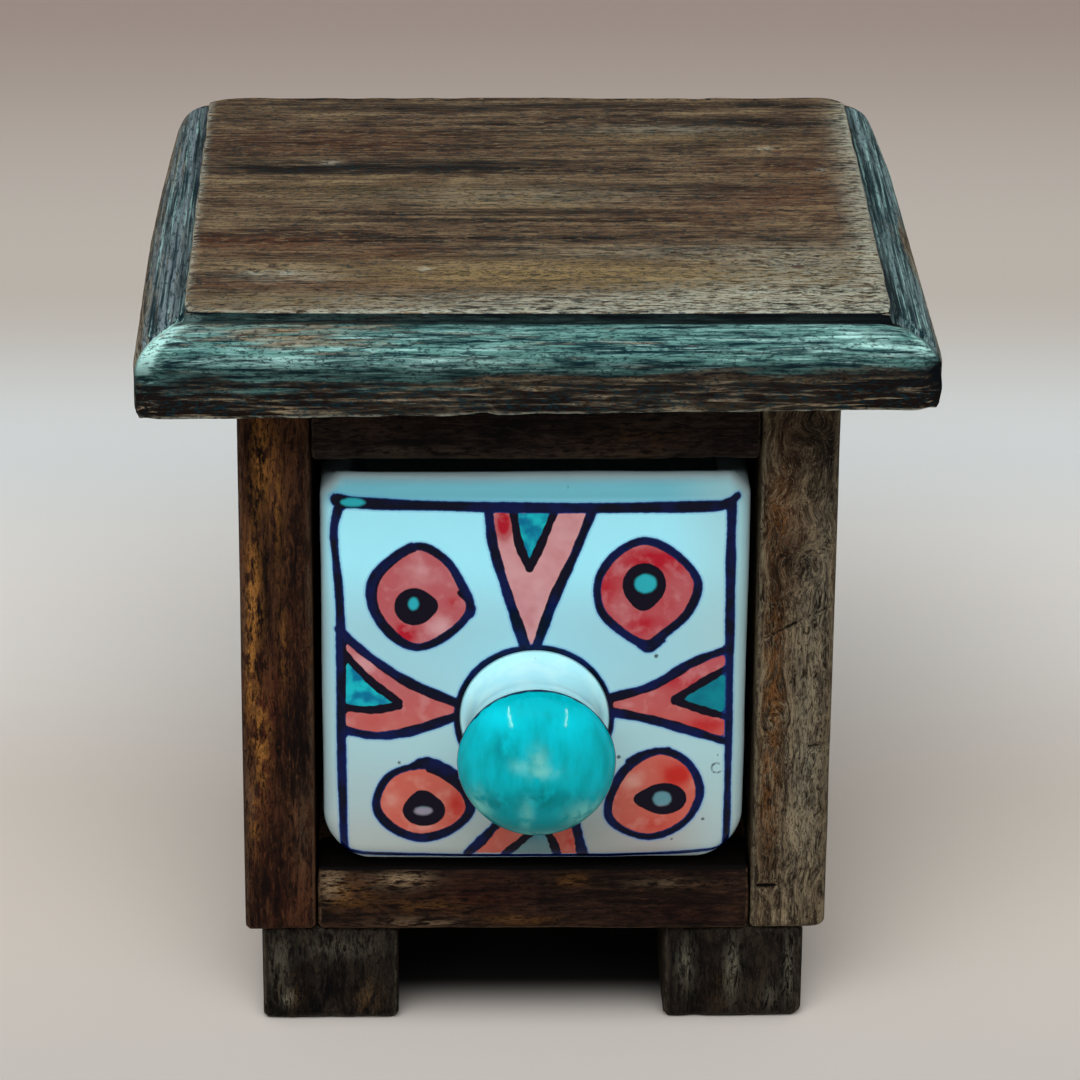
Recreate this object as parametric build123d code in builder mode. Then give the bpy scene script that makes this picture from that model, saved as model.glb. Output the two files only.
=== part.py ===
"""A mini chest of drawers: one glazed ceramic drawer in a small box of reclaimed boards.

Lengths are in millimetres. X runs across the front, Y from the front to the back and Z up.
The origin lies on the table, under the middle of the whole chest with its knob.
"""
from build123d import *
import os

os.makedirs("parts", exist_ok=True)

# Carcass: two upright sides with a floor board and a ceiling board between them
body_width = 90.0
body_height = 93.6
board_depth = 85.5
side_thickness = 11.2
floor_thickness = 11.6
ceiling_thickness = 13.7
board_edge = 1.0
side_foot_round = 1.8

# Back panel, nailed over the back edges of the carcass
back_thickness = 4.0
back_margin = 0.6

# Runners that carry the body
runner_height = 16.7
runner_width = 21.1
runner_inset = 2.4
runner_setback = 1.4
runner_edge = 1.6

# Top board: a square band, an ovolo above it, and a quirk up to the flat field
top_overhang = 14.4
band_height = 6.6
band_arris = 0.8
ovolo_run = 7.2
ovolo_rise = 5.3
quirk_height = 1.3
field_edge = 0.4

# Drawer: a ceramic tray, open at the top, in the opening of the carcass
side_gap = 1.05
gap_above = 2.5
running_gap = 0.2
back_gap = 0.3
drawer_proud = 1.2
front_crown = 0.5
tray_wall = 5.0
tray_floor = 6.0
tray_corner = 4.2
inner_corner = 5.0

# Knob, measured from the drawer's underside and outwards from its front
knob_height = 25.8
knob_base_radius = 11.2
knob_neck_radius = 10.3
knob_radius = 12.2
knob_neck = 7.0
knob_shoulder = 14.8
knob_dome = 6.0

# Brads: flat wire with a chisel point, their narrow heads punched just below the wood
brad_width = 1.25
brad_wire = 1.05
brad_head_width = 2.0
brad_head = 0.9
brad_point = 1.6
brad_sink = 0.4
brad_room = 0.05
top_brad_length = 27.0
side_brad_length = 25.0
back_brad_length = 14.0
runner_brad_length = 24.0
top_brad_front = 12.5
top_brad_back = 63.0
side_brad_inset = 18.0
runner_brad_inset = 28.0
back_brad_inset = 12.0

# Heights
floor_underside = runner_height
floor_top = floor_underside + floor_thickness
body_top = floor_underside + body_height
ceiling_underside = body_top - ceiling_thickness
band_top = body_top + band_height
ovolo_top = band_top + ovolo_rise
top_face = ovolo_top + quirk_height

# Depths: the knob's front and the back panel lie equally far from the origin
body_depth = board_depth + back_thickness
knob_reach = drawer_proud + knob_shoulder + knob_dome
front_y = (knob_reach - body_depth) / 2
boards_back_y = front_y + board_depth
back_y = front_y + body_depth
top_front_y = front_y - top_overhang

# Widths
half_body = body_width / 2
half_opening = half_body - side_thickness
half_top = half_body + top_overhang
side_centre_x = half_body - side_thickness / 2
runner_centre_x = half_body - runner_inset - runner_width / 2

# The drawer fills the opening, less its clearances
half_drawer = half_opening - side_gap
drawer_bottom = floor_top + running_gap
drawer_top = ceiling_underside - gap_above
drawer_front_y = front_y - drawer_proud
drawer_back_y = boards_back_y - back_gap
knob_z = drawer_bottom + knob_height

# The foot of a cast corner is a little tighter than the corner, and the rim is rolled nearly round
tray_foot = 0.95 * tray_corner
inner_foot = 0.8 * inner_corner
tray_rim = 0.46 * tray_wall


def brad(length, room=0.0):
    """One brad along Z, the top of its head at the origin and its chisel point down at -length.

    With room it is the hole the brad is driven into, open above the head.
    """
    shank = brad_width / 2 + room
    head = brad_head_width / 2 + room
    above = 2 * brad_sink if room else 0.0
    with BuildPart() as nail:
        with BuildSketch(Plane.XZ):
            with BuildLine():
                Polyline(
                    (0, above),
                    (head, above),
                    (head, -brad_head - room),
                    (shank, -brad_head - room),
                    (shank, brad_point - length),
                    (0, -length - room),
                )
                mirror(about=Plane.YZ)
            make_face()
        extrude(amount=brad_wire / 2 + room, both=True)
    return nail.part


def seats(face, spots):
    """Where brads stand on a face: each spot is in the face's own two directions."""
    return [face.location * Location((along, across, 0)) for along, across in spots]


def drive(places, length):
    """Put a brad at each place."""
    with Locations(*places):
        add(brad(length))


def pierce(places, length):
    """Cut the hole of a brad at each place."""
    with Locations(*places):
        add(brad(length, brad_room), mode=Mode.SUBTRACT)


# Where the brads go, each row on the face that it is driven from
top_driven = Plane((0, front_y, top_face - brad_sink))
top_places = seats(
    top_driven,
    [(side * side_centre_x, inset) for side in (-1, 1) for inset in (top_brad_front, top_brad_back)],
)

board_middles = (floor_underside + floor_thickness / 2, body_top - ceiling_thickness / 2)
side_insets = (side_brad_inset, board_depth - side_brad_inset)
left_driven = Plane((brad_sink - half_body, front_y, 0), x_dir=(0, 1, 0), z_dir=(-1, 0, 0))
right_driven = Plane((half_body - brad_sink, front_y, 0), x_dir=(0, 1, 0), z_dir=(1, 0, 0))
left_places = seats(left_driven, [(inset, -height) for inset in side_insets for height in board_middles])
right_places = seats(right_driven, [(inset, height) for inset in side_insets for height in board_middles])

back_driven = Plane((0, back_y - brad_sink, 0), x_dir=(1, 0, 0), z_dir=(0, 1, 0))
body_middle = floor_underside + body_height / 2
back_heights = (floor_underside + back_brad_inset, body_middle, body_top - back_brad_inset)
back_places = seats(
    back_driven,
    [(side * side_centre_x, -height) for side in (-1, 1) for height in back_heights],
)

floor_driven = Plane((0, front_y, floor_top - brad_sink))
runner_insets = (runner_brad_inset, board_depth - runner_brad_inset)
runner_places = seats(
    floor_driven,
    [(side * runner_centre_x, inset) for side in (-1, 1) for inset in runner_insets],
)


def upright_board(side, driven):
    """A side board on the runners, its front edges eased and its outer foot rounded.

    side is -1 on the left and 1 on the right; driven are the brads that come in from outside.
    """
    with BuildPart() as board:
        with BuildSketch(Plane.XY.offset(floor_underside)):
            with Locations((side * side_centre_x, front_y)):
                Rectangle(side_thickness, board_depth, align=(Align.CENTER, Align.MIN))
        extrude(amount=body_height)
        outer = board.faces().filter_by(Axis.X).sort_by(lambda face: side * face.center().X)[-1]
        fillet(outer.edges().filter_by(Axis.Y).sort_by(Axis.Z)[0], radius=side_foot_round)
        front = board.faces().sort_by(Axis.Y)[0]
        fillet(front.edges().filter_by(Axis.Z), radius=board_edge)
        pierce(driven, side_brad_length)
        pierce(top_places, top_brad_length)
        pierce(back_places, back_brad_length)
    return board


def level_board(underside, thickness):
    """A board between the sides, its front edges eased.

    The runners' brads go through the floor board and pass the ceiling board by.
    """
    with BuildPart() as board:
        with BuildSketch(Plane.XY.offset(underside)):
            with Locations((0, front_y)):
                Rectangle(2 * half_opening, board_depth, align=(Align.CENTER, Align.MIN))
        extrude(amount=thickness)
        front = board.faces().sort_by(Axis.Y)[0]
        fillet(front.edges().filter_by(Axis.X), radius=board_edge)
        pierce(left_places + right_places, side_brad_length)
        pierce(runner_places, runner_brad_length)
    return board


def runner(side):
    """A foot as deep as the body less its setback at both ends, its lower edges rounded."""
    with BuildPart() as foot:
        with BuildSketch(Plane.XY):
            with Locations((side * runner_centre_x, front_y + board_depth / 2)):
                Rectangle(runner_width, board_depth - 2 * runner_setback)
        extrude(amount=runner_height)
        ground = foot.faces().sort_by(Axis.Z)[0]
        fillet(ground.edges() + foot.edges().filter_by(Axis.Z), radius=runner_edge)
        pierce(runner_places, runner_brad_length)
    return foot


left_side = upright_board(-1, left_places)
right_side = upright_board(1, right_places)
ceiling_board = level_board(ceiling_underside, ceiling_thickness)
floor_board = level_board(floor_underside, floor_thickness)
left_runner = runner(-1)
right_runner = runner(1)

with BuildPart() as back_panel:
    with BuildSketch(Plane.XZ.offset(-boards_back_y)):
        with Locations((0, body_middle)):
            Rectangle(body_width - 2 * back_margin, body_height - 2 * back_margin)
    extrude(amount=-back_thickness)
    rear = back_panel.faces().sort_by(Axis.Y)[-1]
    fillet(rear.edges(), radius=board_edge)
    pierce(back_places, back_brad_length)


def moulded_edge(outer, inner):
    """Half of the top board's section, from the underside out and up to the flat field.

    outer is where the band stands, and inner is the middle of the board or its plain back edge.
    """
    field = outer - ovolo_run
    Line((inner, body_top), (outer - band_arris, body_top))
    RadiusArc((outer - band_arris, body_top), (outer, body_top + band_arris), -band_arris)
    Line((outer, body_top + band_arris), (outer, band_top))
    EllipticalCenterArc((field, band_top), ovolo_run, ovolo_rise, start_angle=0, arc_size=90)
    Line((field, ovolo_top), (field, top_face - field_edge))
    RadiusArc((field, top_face - field_edge), (field - field_edge, top_face), -field_edge)
    Line((field - field_edge, top_face), (inner, top_face))


# The two sections cross, so the moulding meets in a mitre at each front corner
with BuildPart() as top_board:
    with BuildSketch(Plane.XZ.offset(-back_y)) as across:
        with BuildLine():
            moulded_edge(half_top, 0)
            mirror(about=Plane.YZ)
        make_face()
    extrude(amount=back_y - top_front_y)
    # This section faces left, so its first direction runs towards the front
    facing_left = Plane((half_top, 0, 0), x_dir=(0, -1, 0), z_dir=(-1, 0, 0))
    with BuildSketch(facing_left) as along:
        with BuildLine():
            moulded_edge(-top_front_y, -back_y)
            Line((-back_y, body_top), (-back_y, top_face))
        make_face()
    extrude(amount=2 * half_top, mode=Mode.INTERSECT)
    pierce(top_places, top_brad_length)

# The tray is cast: a crowned front, rounded corners inside and out, and a rolled rim
with BuildPart() as drawer_tray:
    with BuildSketch(Plane.XY.offset(drawer_bottom)) as tray_plan:
        with BuildLine():
            crown = ThreePointArc(
                (-half_drawer, drawer_front_y + front_crown),
                (0, drawer_front_y),
                (half_drawer, drawer_front_y + front_crown),
            )
            Polyline(crown @ 1, (half_drawer, drawer_back_y), (-half_drawer, drawer_back_y), crown @ 0)
        make_face()
    extrude(amount=drawer_top - drawer_bottom)
    fillet(drawer_tray.edges().filter_by(Axis.Z), radius=tray_corner)
    fillet(drawer_tray.faces().sort_by(Axis.Z)[0].edges(), radius=tray_foot)
    with BuildSketch(Plane.XY.offset(drawer_bottom + tray_floor)) as hollow_plan:
        hollow_front = drawer_front_y + front_crown + tray_wall
        hollow_back = drawer_back_y - tray_wall
        with Locations((0, (hollow_front + hollow_back) / 2)):
            RectangleRounded(2 * (half_drawer - tray_wall), hollow_back - hollow_front, inner_corner)
    extrude(amount=drawer_top - drawer_bottom, mode=Mode.SUBTRACT)
    hollow_floor = drawer_tray.faces().filter_by(Plane.XY).group_by(Axis.Z)[1].sort_by(SortBy.AREA)[-1]
    fillet(hollow_floor.edges(), radius=inner_foot)
    rim = drawer_tray.faces().filter_by(Plane.XY).sort_by(Axis.Z)[-1]
    fillet(rim.edges(), radius=tray_rim)

# The knob is turned about the line that points out of the drawer's front
with BuildPart() as drawer_knob:
    knob_plane = Plane((0, drawer_front_y, knob_z), x_dir=(1, 0, 0), z_dir=(0, 0, 1))
    with BuildSketch(knob_plane) as knob_section:
        with BuildLine():
            Line((0, 0), (knob_base_radius, 0))
            ThreePointArc(
                (knob_base_radius, 0),
                (knob_neck_radius, -knob_neck),
                (knob_radius, -knob_shoulder),
            )
            EllipticalCenterArc((0, -knob_shoulder), knob_radius, knob_dome, start_angle=270, arc_size=90)
            Line((0, -knob_shoulder - knob_dome), (0, 0))
        make_face()
    revolve(axis=Axis((0, drawer_front_y, knob_z), (0, 1, 0)))

with BuildPart() as top_brads:
    drive(top_places, top_brad_length)

with BuildPart() as left_side_brads:
    drive(left_places, side_brad_length)

with BuildPart() as right_side_brads:
    drive(right_places, side_brad_length)

with BuildPart() as back_panel_brads:
    drive(back_places, back_brad_length)

with BuildPart() as runner_brads:
    drive(runner_places, runner_brad_length)

pieces = {
    "top_board": top_board,
    "left_side": left_side,
    "right_side": right_side,
    "ceiling_board": ceiling_board,
    "floor_board": floor_board,
    "back_panel": back_panel,
    "left_runner": left_runner,
    "right_runner": right_runner,
    "drawer_tray": drawer_tray,
    "drawer_knob": drawer_knob,
    "top_brads": top_brads,
    "left_side_brads": left_side_brads,
    "right_side_brads": right_side_brads,
    "back_panel_brads": back_panel_brads,
    "runner_brads": runner_brads,
}
for name, piece in pieces.items():
    piece.part.label = name
    export_step(piece.part, f"parts/{name}.step")
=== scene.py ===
"""The looks of a mini chest of drawers: worn boards round one painted ceramic drawer.

The script is a lesson in cells. A wooden piece is the skin of a box, drawn as a close lattice of
points: its edges are rolled over by a worn radius, and then each point goes in a little along its own
outward direction, as far as the grain, the knocks and the wear say. The drawer and its knob are rings
of points carried along a profile. No piece reaches outside the whole chest's packed box.

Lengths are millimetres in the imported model's frame: X across the front, Y towards the back, Z up.
"""
import math

import bpy
import numpy as np
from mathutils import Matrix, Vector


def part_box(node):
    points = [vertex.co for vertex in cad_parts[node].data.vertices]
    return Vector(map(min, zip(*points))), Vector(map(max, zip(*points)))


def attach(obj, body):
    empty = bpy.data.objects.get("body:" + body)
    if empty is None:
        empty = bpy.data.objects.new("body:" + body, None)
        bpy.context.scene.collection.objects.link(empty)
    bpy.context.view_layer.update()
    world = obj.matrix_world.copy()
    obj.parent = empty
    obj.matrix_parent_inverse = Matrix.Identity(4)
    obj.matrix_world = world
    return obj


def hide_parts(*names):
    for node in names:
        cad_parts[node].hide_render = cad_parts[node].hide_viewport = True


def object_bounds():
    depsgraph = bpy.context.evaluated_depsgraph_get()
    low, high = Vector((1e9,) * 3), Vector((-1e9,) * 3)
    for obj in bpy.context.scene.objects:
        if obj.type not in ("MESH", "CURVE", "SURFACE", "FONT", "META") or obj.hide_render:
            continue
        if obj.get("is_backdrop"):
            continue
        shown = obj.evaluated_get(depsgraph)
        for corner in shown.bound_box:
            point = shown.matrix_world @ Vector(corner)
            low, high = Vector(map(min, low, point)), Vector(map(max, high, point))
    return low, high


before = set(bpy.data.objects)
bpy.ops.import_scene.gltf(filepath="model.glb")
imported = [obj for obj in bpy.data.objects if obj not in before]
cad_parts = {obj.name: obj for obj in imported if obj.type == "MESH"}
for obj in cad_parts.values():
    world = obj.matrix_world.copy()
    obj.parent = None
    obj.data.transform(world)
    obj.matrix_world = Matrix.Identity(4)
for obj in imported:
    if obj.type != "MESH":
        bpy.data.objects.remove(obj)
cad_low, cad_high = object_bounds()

# %% [markdown]
# Blender counts in metres and the chest in millimetres, so one factor turns the one into the other.
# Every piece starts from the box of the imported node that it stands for, so no piece is placed by eye.

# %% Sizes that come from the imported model
MM = 0.001


def box_mm(node):
    """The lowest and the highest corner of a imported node, in millimetres."""
    low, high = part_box(node)
    return np.array(low) / MM, np.array(high) / MM


top_low, top_high = box_mm("top_board")
tray_low, tray_high = box_mm("drawer_tray")
knob_low, knob_high = box_mm("drawer_knob")
front_y = box_mm("left_side")[0][1]
knob_centre = (knob_low + knob_high) / 2
chest_size = (np.array(cad_high) - np.array(cad_low)) / MM
print("chest", np.round(chest_size, 1), "mm; front plane at y", round(front_y, 2))

# %% [markdown]
# The camera stands where the photograph was taken from: above the chest, a little to its left, far
# away with a long lens, so that the upright edges stay nearly parallel. Its three directions are worked
# out from the pitch, the yaw and the roll, and its matrix holds them and its place as four columns.

# %% Camera
camera_place = np.array([-15.23, -722.97, 390.62])
pitch, yaw, roll = math.radians(24.0), math.radians(1.32), math.radians(0.42)
lens_length, film_width = 166.42, 36.0
nearest_seen = 0.05


def camera_axes(pitch, yaw, roll):
    """Right, up and forward: forward turns by yaw and dips by pitch, then the other two turn by roll."""
    forward = np.array([math.sin(yaw) * math.cos(pitch), math.cos(yaw) * math.cos(pitch), -math.sin(pitch)])
    level = np.array([math.cos(yaw), -math.sin(yaw), 0.0])
    upright = np.cross(level, forward)
    right = level * math.cos(roll) + upright * math.sin(roll)
    up = upright * math.cos(roll) - level * math.sin(roll)
    return right, up, forward


def stand(thing, x_axis, y_axis, z_axis, place):
    """Turn an object so that its own axes point these three ways, and stand it at a place in metres."""
    matrix = np.eye(4)
    matrix[:3] = np.stack([x_axis, y_axis, z_axis, place], axis=1)
    thing.matrix_world = matrix.T.tolist()


right, up, forward = camera_axes(pitch, yaw, roll)
camera_data = bpy.data.cameras.new("camera")
camera_data.lens = lens_length
camera_data.sensor_width = film_width
camera_data.clip_start = nearest_seen
camera = bpy.data.objects.new("camera", camera_data)
bpy.context.scene.collection.objects.link(camera)
stand(camera, right, up, -forward, camera_place * MM)
bpy.context.scene.camera = camera
print("camera looks along", np.round(forward, 3))

# %% [markdown]
# Wood, glaze and wear are never even, so nearly everything below leans on one kind of smooth chance.
# Space is cut into cells, each corner of a cell gets a height of its own, and the heights between are
# eased from corner to corner. Long thin cells give grain, and round ones give dents and blotches.

# %% Smooth random hills
heights = np.random.default_rng(12).random(4096)
# Three large primes, so that neighbouring corners get heights that have nothing to do with each other
corner_mix = np.array([73856093, 19349663, 83492791])
# How many cells one seed's hills stand apart from the next seed's
seed_step = 31.7


def ease(share):
    """From 0 to 1 with a soft start and a soft end: three squares less two cubes."""
    return share * share * (3 - 2 * share)


def hills(points, cell, seed=0):
    """A height from 0 to 1 at each point: the heights of the cell's eight corners, weighted by nearness."""
    place = points / np.asarray(cell, float) + seed_step * seed
    corner = np.floor(place).astype(np.int64)
    share = ease(place - corner)
    total = np.zeros(len(points))
    for step in np.ndindex(2, 2, 2):
        mixed = np.bitwise_xor.reduce((corner + step) * corner_mix, axis=1)
        weight = np.where(step, share, 1 - share).prod(axis=1)
        total += weight * heights[mixed & (len(heights) - 1)]
    return total


def near(points, centre, reach):
    """1 at the centre, fading to nothing: exp(-(distance / reach) squared), with a reach along each axis."""
    return np.exp(-(((points - np.asarray(centre)) / np.asarray(reach)) ** 2).sum(axis=1))


def line_gap(points, start, end):
    """Distance from each point to the straight line from start to end."""
    start, run = np.asarray(start, float), np.subtract(end, start)
    share = np.clip((points - start) @ run / (run @ run), 0, 1)
    return np.linalg.norm(points - start - share[:, None] * run, axis=1)


def near_line(points, start, end, width):
    """1 on the line from start to end, fading to nothing over its width."""
    return np.exp(-((line_gap(points, start, end) / width) ** 2))


def soft_spot(across, up, spot):
    """A patch on a flat face that fades as near does: (across, up, reach across, reach up, strength)."""
    x, y, reach_x, reach_y, strength = spot
    return strength * np.exp(-(((across - x) / reach_x) ** 2) - ((up - y) / reach_y) ** 2)


def patches(points, spots):
    """The sum of soft patches on a face, never below 0 or over 1.2."""
    return np.clip(sum(soft_spot(points[:, 0], points[:, 1], spot) for spot in spots), 0, 1.2)


# %% [markdown]
# A finished set of points becomes a piece with one call. Each point also carries numbers, such as how
# worn the edge is there, and the materials read them as attributes.

# %% Turn points into a piece
def make_piece(name, points, faces, material, body, nodes, slot, **values):
    """Put points in millimetres and their faces into a mesh that rides on a body and replaces its nodes."""
    mesh = bpy.data.meshes.new(name)
    mesh.from_pydata((points * MM).tolist(), [], faces, shade_flat=False)
    for value_name, value in values.items():
        attribute = mesh.attributes.new(value_name, "FLOAT", "POINT")
        attribute.data.foreach_set("value", np.broadcast_to(value, len(points)).astype(np.float32))
    mesh.materials.append(material)
    piece = bpy.data.objects.new(name, mesh)
    bpy.context.scene.collection.objects.link(piece)
    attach(piece, body)
    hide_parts(*nodes)
    low, high = np.round(points.min(0), 1), np.round(points.max(0), 1)
    print(name, len(points), "points", len(faces), "faces", low, high)


# %% [markdown]
# Colours are written as the eye names them, in sRGB, and turned to linear light by one function. One
# more function adds any shader node with its settings and links, so a material reads as a short list.

# %% Shader helpers
def linear(colour):
    """An sRGB hex colour as linear red, green, blue and alpha."""
    parts = [int(colour[k : k + 2], 16) / 255 for k in (1, 3, 5)]
    return [p / 12.92 if p <= 0.04045 else ((p + 0.055) / 1.055) ** 2.4 for p in parts] + [1.0]


usual = {"Mix": {"data_type": "RGBA"}, "MapRange": {"interpolation_type": "SMOOTHSTEP"}}


def add(tree, kind, links=(), **settings):
    """Add a shader node.

    settings are its properties, on top of the usual ones. links gives its inputs, by name or by number,
    each a hex colour, a number, or the node or socket that feeds it.
    """
    made = tree.nodes.new("ShaderNode" + kind)
    for name, value in {**usual.get(kind, {}), **settings}.items():
        setattr(made, name, value)
    for name, value in dict(links).items():
        if isinstance(name, int):
            socket = made.inputs[name]
        else:
            socket = next(s for s in made.inputs if s.enabled and s.name == name)
        if isinstance(value, bpy.types.Node):
            value = next(s for s in value.outputs if s.enabled)
        if isinstance(value, bpy.types.NodeSocket):
            tree.links.new(value, socket)
        else:
            socket.default_value = linear(value) if isinstance(value, str) else value
    return made


def lay(tree, below, above, pattern, low, high, most=1.0, zone=None):
    """Lay one colour over another where a pattern climbs from low to high, in a zone if one is given."""
    share = add(tree, "MapRange", {"Value": pattern, "From Min": low, "From Max": high, "To Max": most})
    if zone:
        share = add(tree, "Math", {0: share, 1: zone}, operation="MULTIPLY", use_clamp=True)
    return add(tree, "Mix", {"Factor": share, "A": below, "B": above})


def start_material(name, **constants):
    """A new material with its surface shader; constants are set on the shader's own sockets."""
    material = bpy.data.materials.new(name)
    material.use_nodes = True
    shader = material.node_tree.nodes["Principled BSDF"]
    for socket, value in constants.items():
        shader.inputs[socket.replace("_", " ")].default_value = value
    return material, material.node_tree, shader


# %% [markdown]
# All the boards are old mango or sheesham, sawn, stained dark, waxed and rubbed. To the eye that is dry
# and dull, with hardly a sheen: a streaky figure, coarse open pores, and lighter wood where hands and
# years have worn the stain. Noise at seven scales, most of it drawn out along the grain, gives the
# figure. The numbers that each point carries say where the stain is rubbed golden or red, where it is
# bleached or nearly black, and where an edge is worn pale. The same noise raises the fibres a little.

# %% Where a wood pattern lies
# How dense the turned pattern is along the board's depth, the swirls to the millimetre, and their reach
lengthways_density = 0.45
swirls_per_mm = 0.12
swirl_reach = 13.0


def quarter_turned(tree, place, side):
    """The pattern's place, turned by a quarter where side is 1: there Y, drawn out, stands in for X."""
    parts = add(tree, "SeparateXYZ", {0: place})
    lengthways = add(tree, "Math", {0: parts.outputs["Y"], 1: lengthways_density}, operation="MULTIPLY")
    turned = add(tree, "CombineXYZ", {"X": lengthways, "Y": parts.outputs["X"], "Z": parts.outputs["Z"]})
    return add(tree, "Mix", {"Factor": side, "A": place, "B": turned}, data_type="VECTOR")


def swirled(tree, place):
    """The pattern's place, pushed about by a soft noise of up to a few millimetres round a carried knot."""
    noise = add(tree, "TexNoise", {"Vector": place, "Scale": swirls_per_mm / MM, "Detail": 1.0})
    centre = (0.5, 0.5, 0.5)
    swirl = add(tree, "VectorMath", {0: noise.outputs["Color"], 1: centre}, operation="SUBTRACT")
    knot = add(tree, "Attribute", attribute_name="knot").outputs["Fac"]
    reach = add(tree, "Math", {0: knot, 1: swirl_reach * MM}, operation="MULTIPLY")
    swirl = add(tree, "VectorMath", {0: swirl, "Scale": reach}, operation="SCALE")
    return add(tree, "VectorMath", {0: place, 1: swirl})


# %% The noise that makes up the wood
figure_weights = (("fibres", 0.42), ("dashes", 0.4), ("bands", 0.75), ("blotches", 0.43))


def pattern_sizes(fibre_length, band_length, curl, painted):
    """How much longer along the grain, features to the millimetre across it, detail, shift and twist."""
    sizes = {
        "fibres": (fibre_length, 1.5, 5.0, 0.0, curl),
        "bands": (band_length, 0.3, 4.0, 11.0, curl),
        "blotches": (2.0, 0.16, 3.0, 23.0, 0.0),
        "dashes": (4.2, 1.5, 4.0, 29.0, curl),
        "pores": (2.4 if painted else 4.0, 2.4, 3.0, 37.0, curl),
        "threads": (26.0, 2.6, 2.0, 51.0, curl),
        "chips": (3.0, 0.9, 4.0, 67.0, 0.0),
    }
    if painted:
        sizes["rubbed"] = (11.0, 1.0, 6.0, 83.0, 0.15)
        sizes["coats"] = (13.0, 1.1, 5.0, 97.0, 0.1)
        sizes["glints"] = (14.0, 1.3, 5.0, 71.0, 0.1)
    return sizes


def wood_patterns(tree, place, grain, seed, sizes):
    """One stretched noise for each size, and the figure, which is the weighted sum of four of them."""
    pattern = {}
    for part, (length, scale, detail, shift, twist) in sizes.items():
        stretch = [1 / MM] * 3
        stretch[grain] /= length
        offset = [seed * 3.7 + shift, seed * 5.3, seed * 1.9]
        moved = add(tree, "Mapping", {"Vector": place, "Location": offset, "Scale": stretch})
        links = {"Vector": moved, "Scale": scale, "Detail": detail, "Roughness": 0.68, "Distortion": twist}
        pattern[part] = add(tree, "TexNoise", links)
    figure = 0.0
    for part, weight in figure_weights:
        figure = add(tree, "Math", {0: pattern[part], 1: weight, 2: figure}, operation="MULTIPLY_ADD")
    pattern["figure"] = figure
    return pattern


# %% Paint that is rubbed down to the wood
def rubbed_paint(tree, wood, pattern, carried, paint):
    """A streaky coat with painted highlights, left where the carried paint and a noise add up to enough; the
    groove is painted near black as shade.
    """
    deep, soft, bright, cold = paint
    coat = add(tree, "Mix", {"Factor": carried["cold"], "A": soft, "B": cold})
    coat = lay(tree, deep, coat, pattern["coats"], 0.4, 0.57)
    coat = lay(tree, coat, bright, pattern["threads"], 0.54, 0.7, 0.6)
    coat = lay(tree, coat, deep, pattern["fibres"], 0.5, 0.62, 0.85)
    glow = add(tree, "Math", {0: carried["glow"], 1: pattern["glints"]}, operation="ADD")
    coat = lay(tree, coat, bright, glow, 0.77, 1.04)
    left = add(tree, "Math", {0: carried["paint"], 1: pattern["rubbed"]}, operation="ADD")
    base = lay(tree, wood, coat, left, 0.88, 1.12)
    base = lay(tree, base, deep, pattern["pores"], 0.52, 0.62, 0.75)
    # Painted shade: near black in the groove
    return add(tree, "Mix", {"Factor": carried["groove"], "A": base, "B": "#04080C"})


# %% Old stained wood
def old_wood(
    name, grain, tones, seed, fibre_length=9.0, band_length=26.0, softness=0.75, curl=0.4,
    paint=None, knot=False
):
    """Stained and rubbed board with its grain along one axis.

    tones are dark, middle, light, gold, red, pale and edge. paint adds rubbed paint and its four tones,
    deep, soft, bright and cold.
    """
    dark, middle, light, gold, red, pale, edge = tones
    material, tree, shader = start_material(name, Specular_IOR_Level=0.04, Roughness=0.6)
    place = add(tree, "TexCoord").outputs["Object"]
    zones = ["red", "gold", "pale", "dark", "edge"]
    zones += ["paint", "glow", "groove", "side", "cold"] if paint else ["crack_and_shade"]
    carried = {zone: add(tree, "Attribute", attribute_name=zone).outputs["Fac"] for zone in zones}
    if paint:
        # The moulding's side runs carry their wear lengthways, so there the pattern is turned
        place = quarter_turned(tree, place, carried["side"])
    if knot:
        place = swirled(tree, place)
    sizes = pattern_sizes(fibre_length, band_length, curl, bool(paint))
    pattern = wood_patterns(tree, place, grain, seed, sizes)

    # Colours in the order in which they lie: colour, pattern, from, to, most, zone
    base = dark
    for colour, part, low, high, most, zone in (
        (middle, "figure", 1.0 - 0.15 * softness, 1.01, 1.0, None),
        (light, "figure", 0.99, 1.02 + 0.17 * softness, 1.0, None),
        (red, "fibres", 0.34, 0.56, 1.0, "red"),
        (gold, "dashes" if paint else "chips", 0.4, 0.58, 1.0, "gold"),
        (pale, "dashes", 0.6, 0.4, 1.0, "pale"),
        (light, "threads", 0.52, 0.66, 0.3, None),
        (light, "dashes", 0.46, 0.38, 0.62, None),
        (dark, "dashes", 0.545, 0.63, 0.85, None),
        (dark, "threads", 0.44, 0.34, 0.75 if paint else 0.3, None),
        (dark, "fibres", 0.7, 0.46, 1.0, "dark"),
        (edge, "chips", 0.42, 0.56, 1.0, "edge"),
    ):
        base = lay(tree, base, colour, pattern[part], low, high, most, carried.get(zone))
    if paint:
        base = rubbed_paint(tree, base, pattern, carried, paint)
    else:
        base = lay(tree, base, dark, pattern["pores"], 0.52, 0.66, 0.8)
        base = lay(tree, base, dark, pattern["chips"], 0.53, 0.64, 0.55)
        # Near black in the cracks, and along the lines of painted shade under the drawer
        base = lay(tree, base, "#060403", carried["crack_and_shade"], 0.12, -0.12)
    tree.links.new(base.outputs["Result"], shader.inputs["Base Color"])
    height = add(tree, "Math", {0: pattern["pores"], 1: -0.9, 2: pattern["fibres"]}, operation="MULTIPLY_ADD")
    bump = add(tree, "Bump", {"Height": height, "Strength": 0.8, "Distance": 0.18 * MM})
    tree.links.new(bump.outputs[0], shader.inputs["Normal"])
    return material


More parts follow.
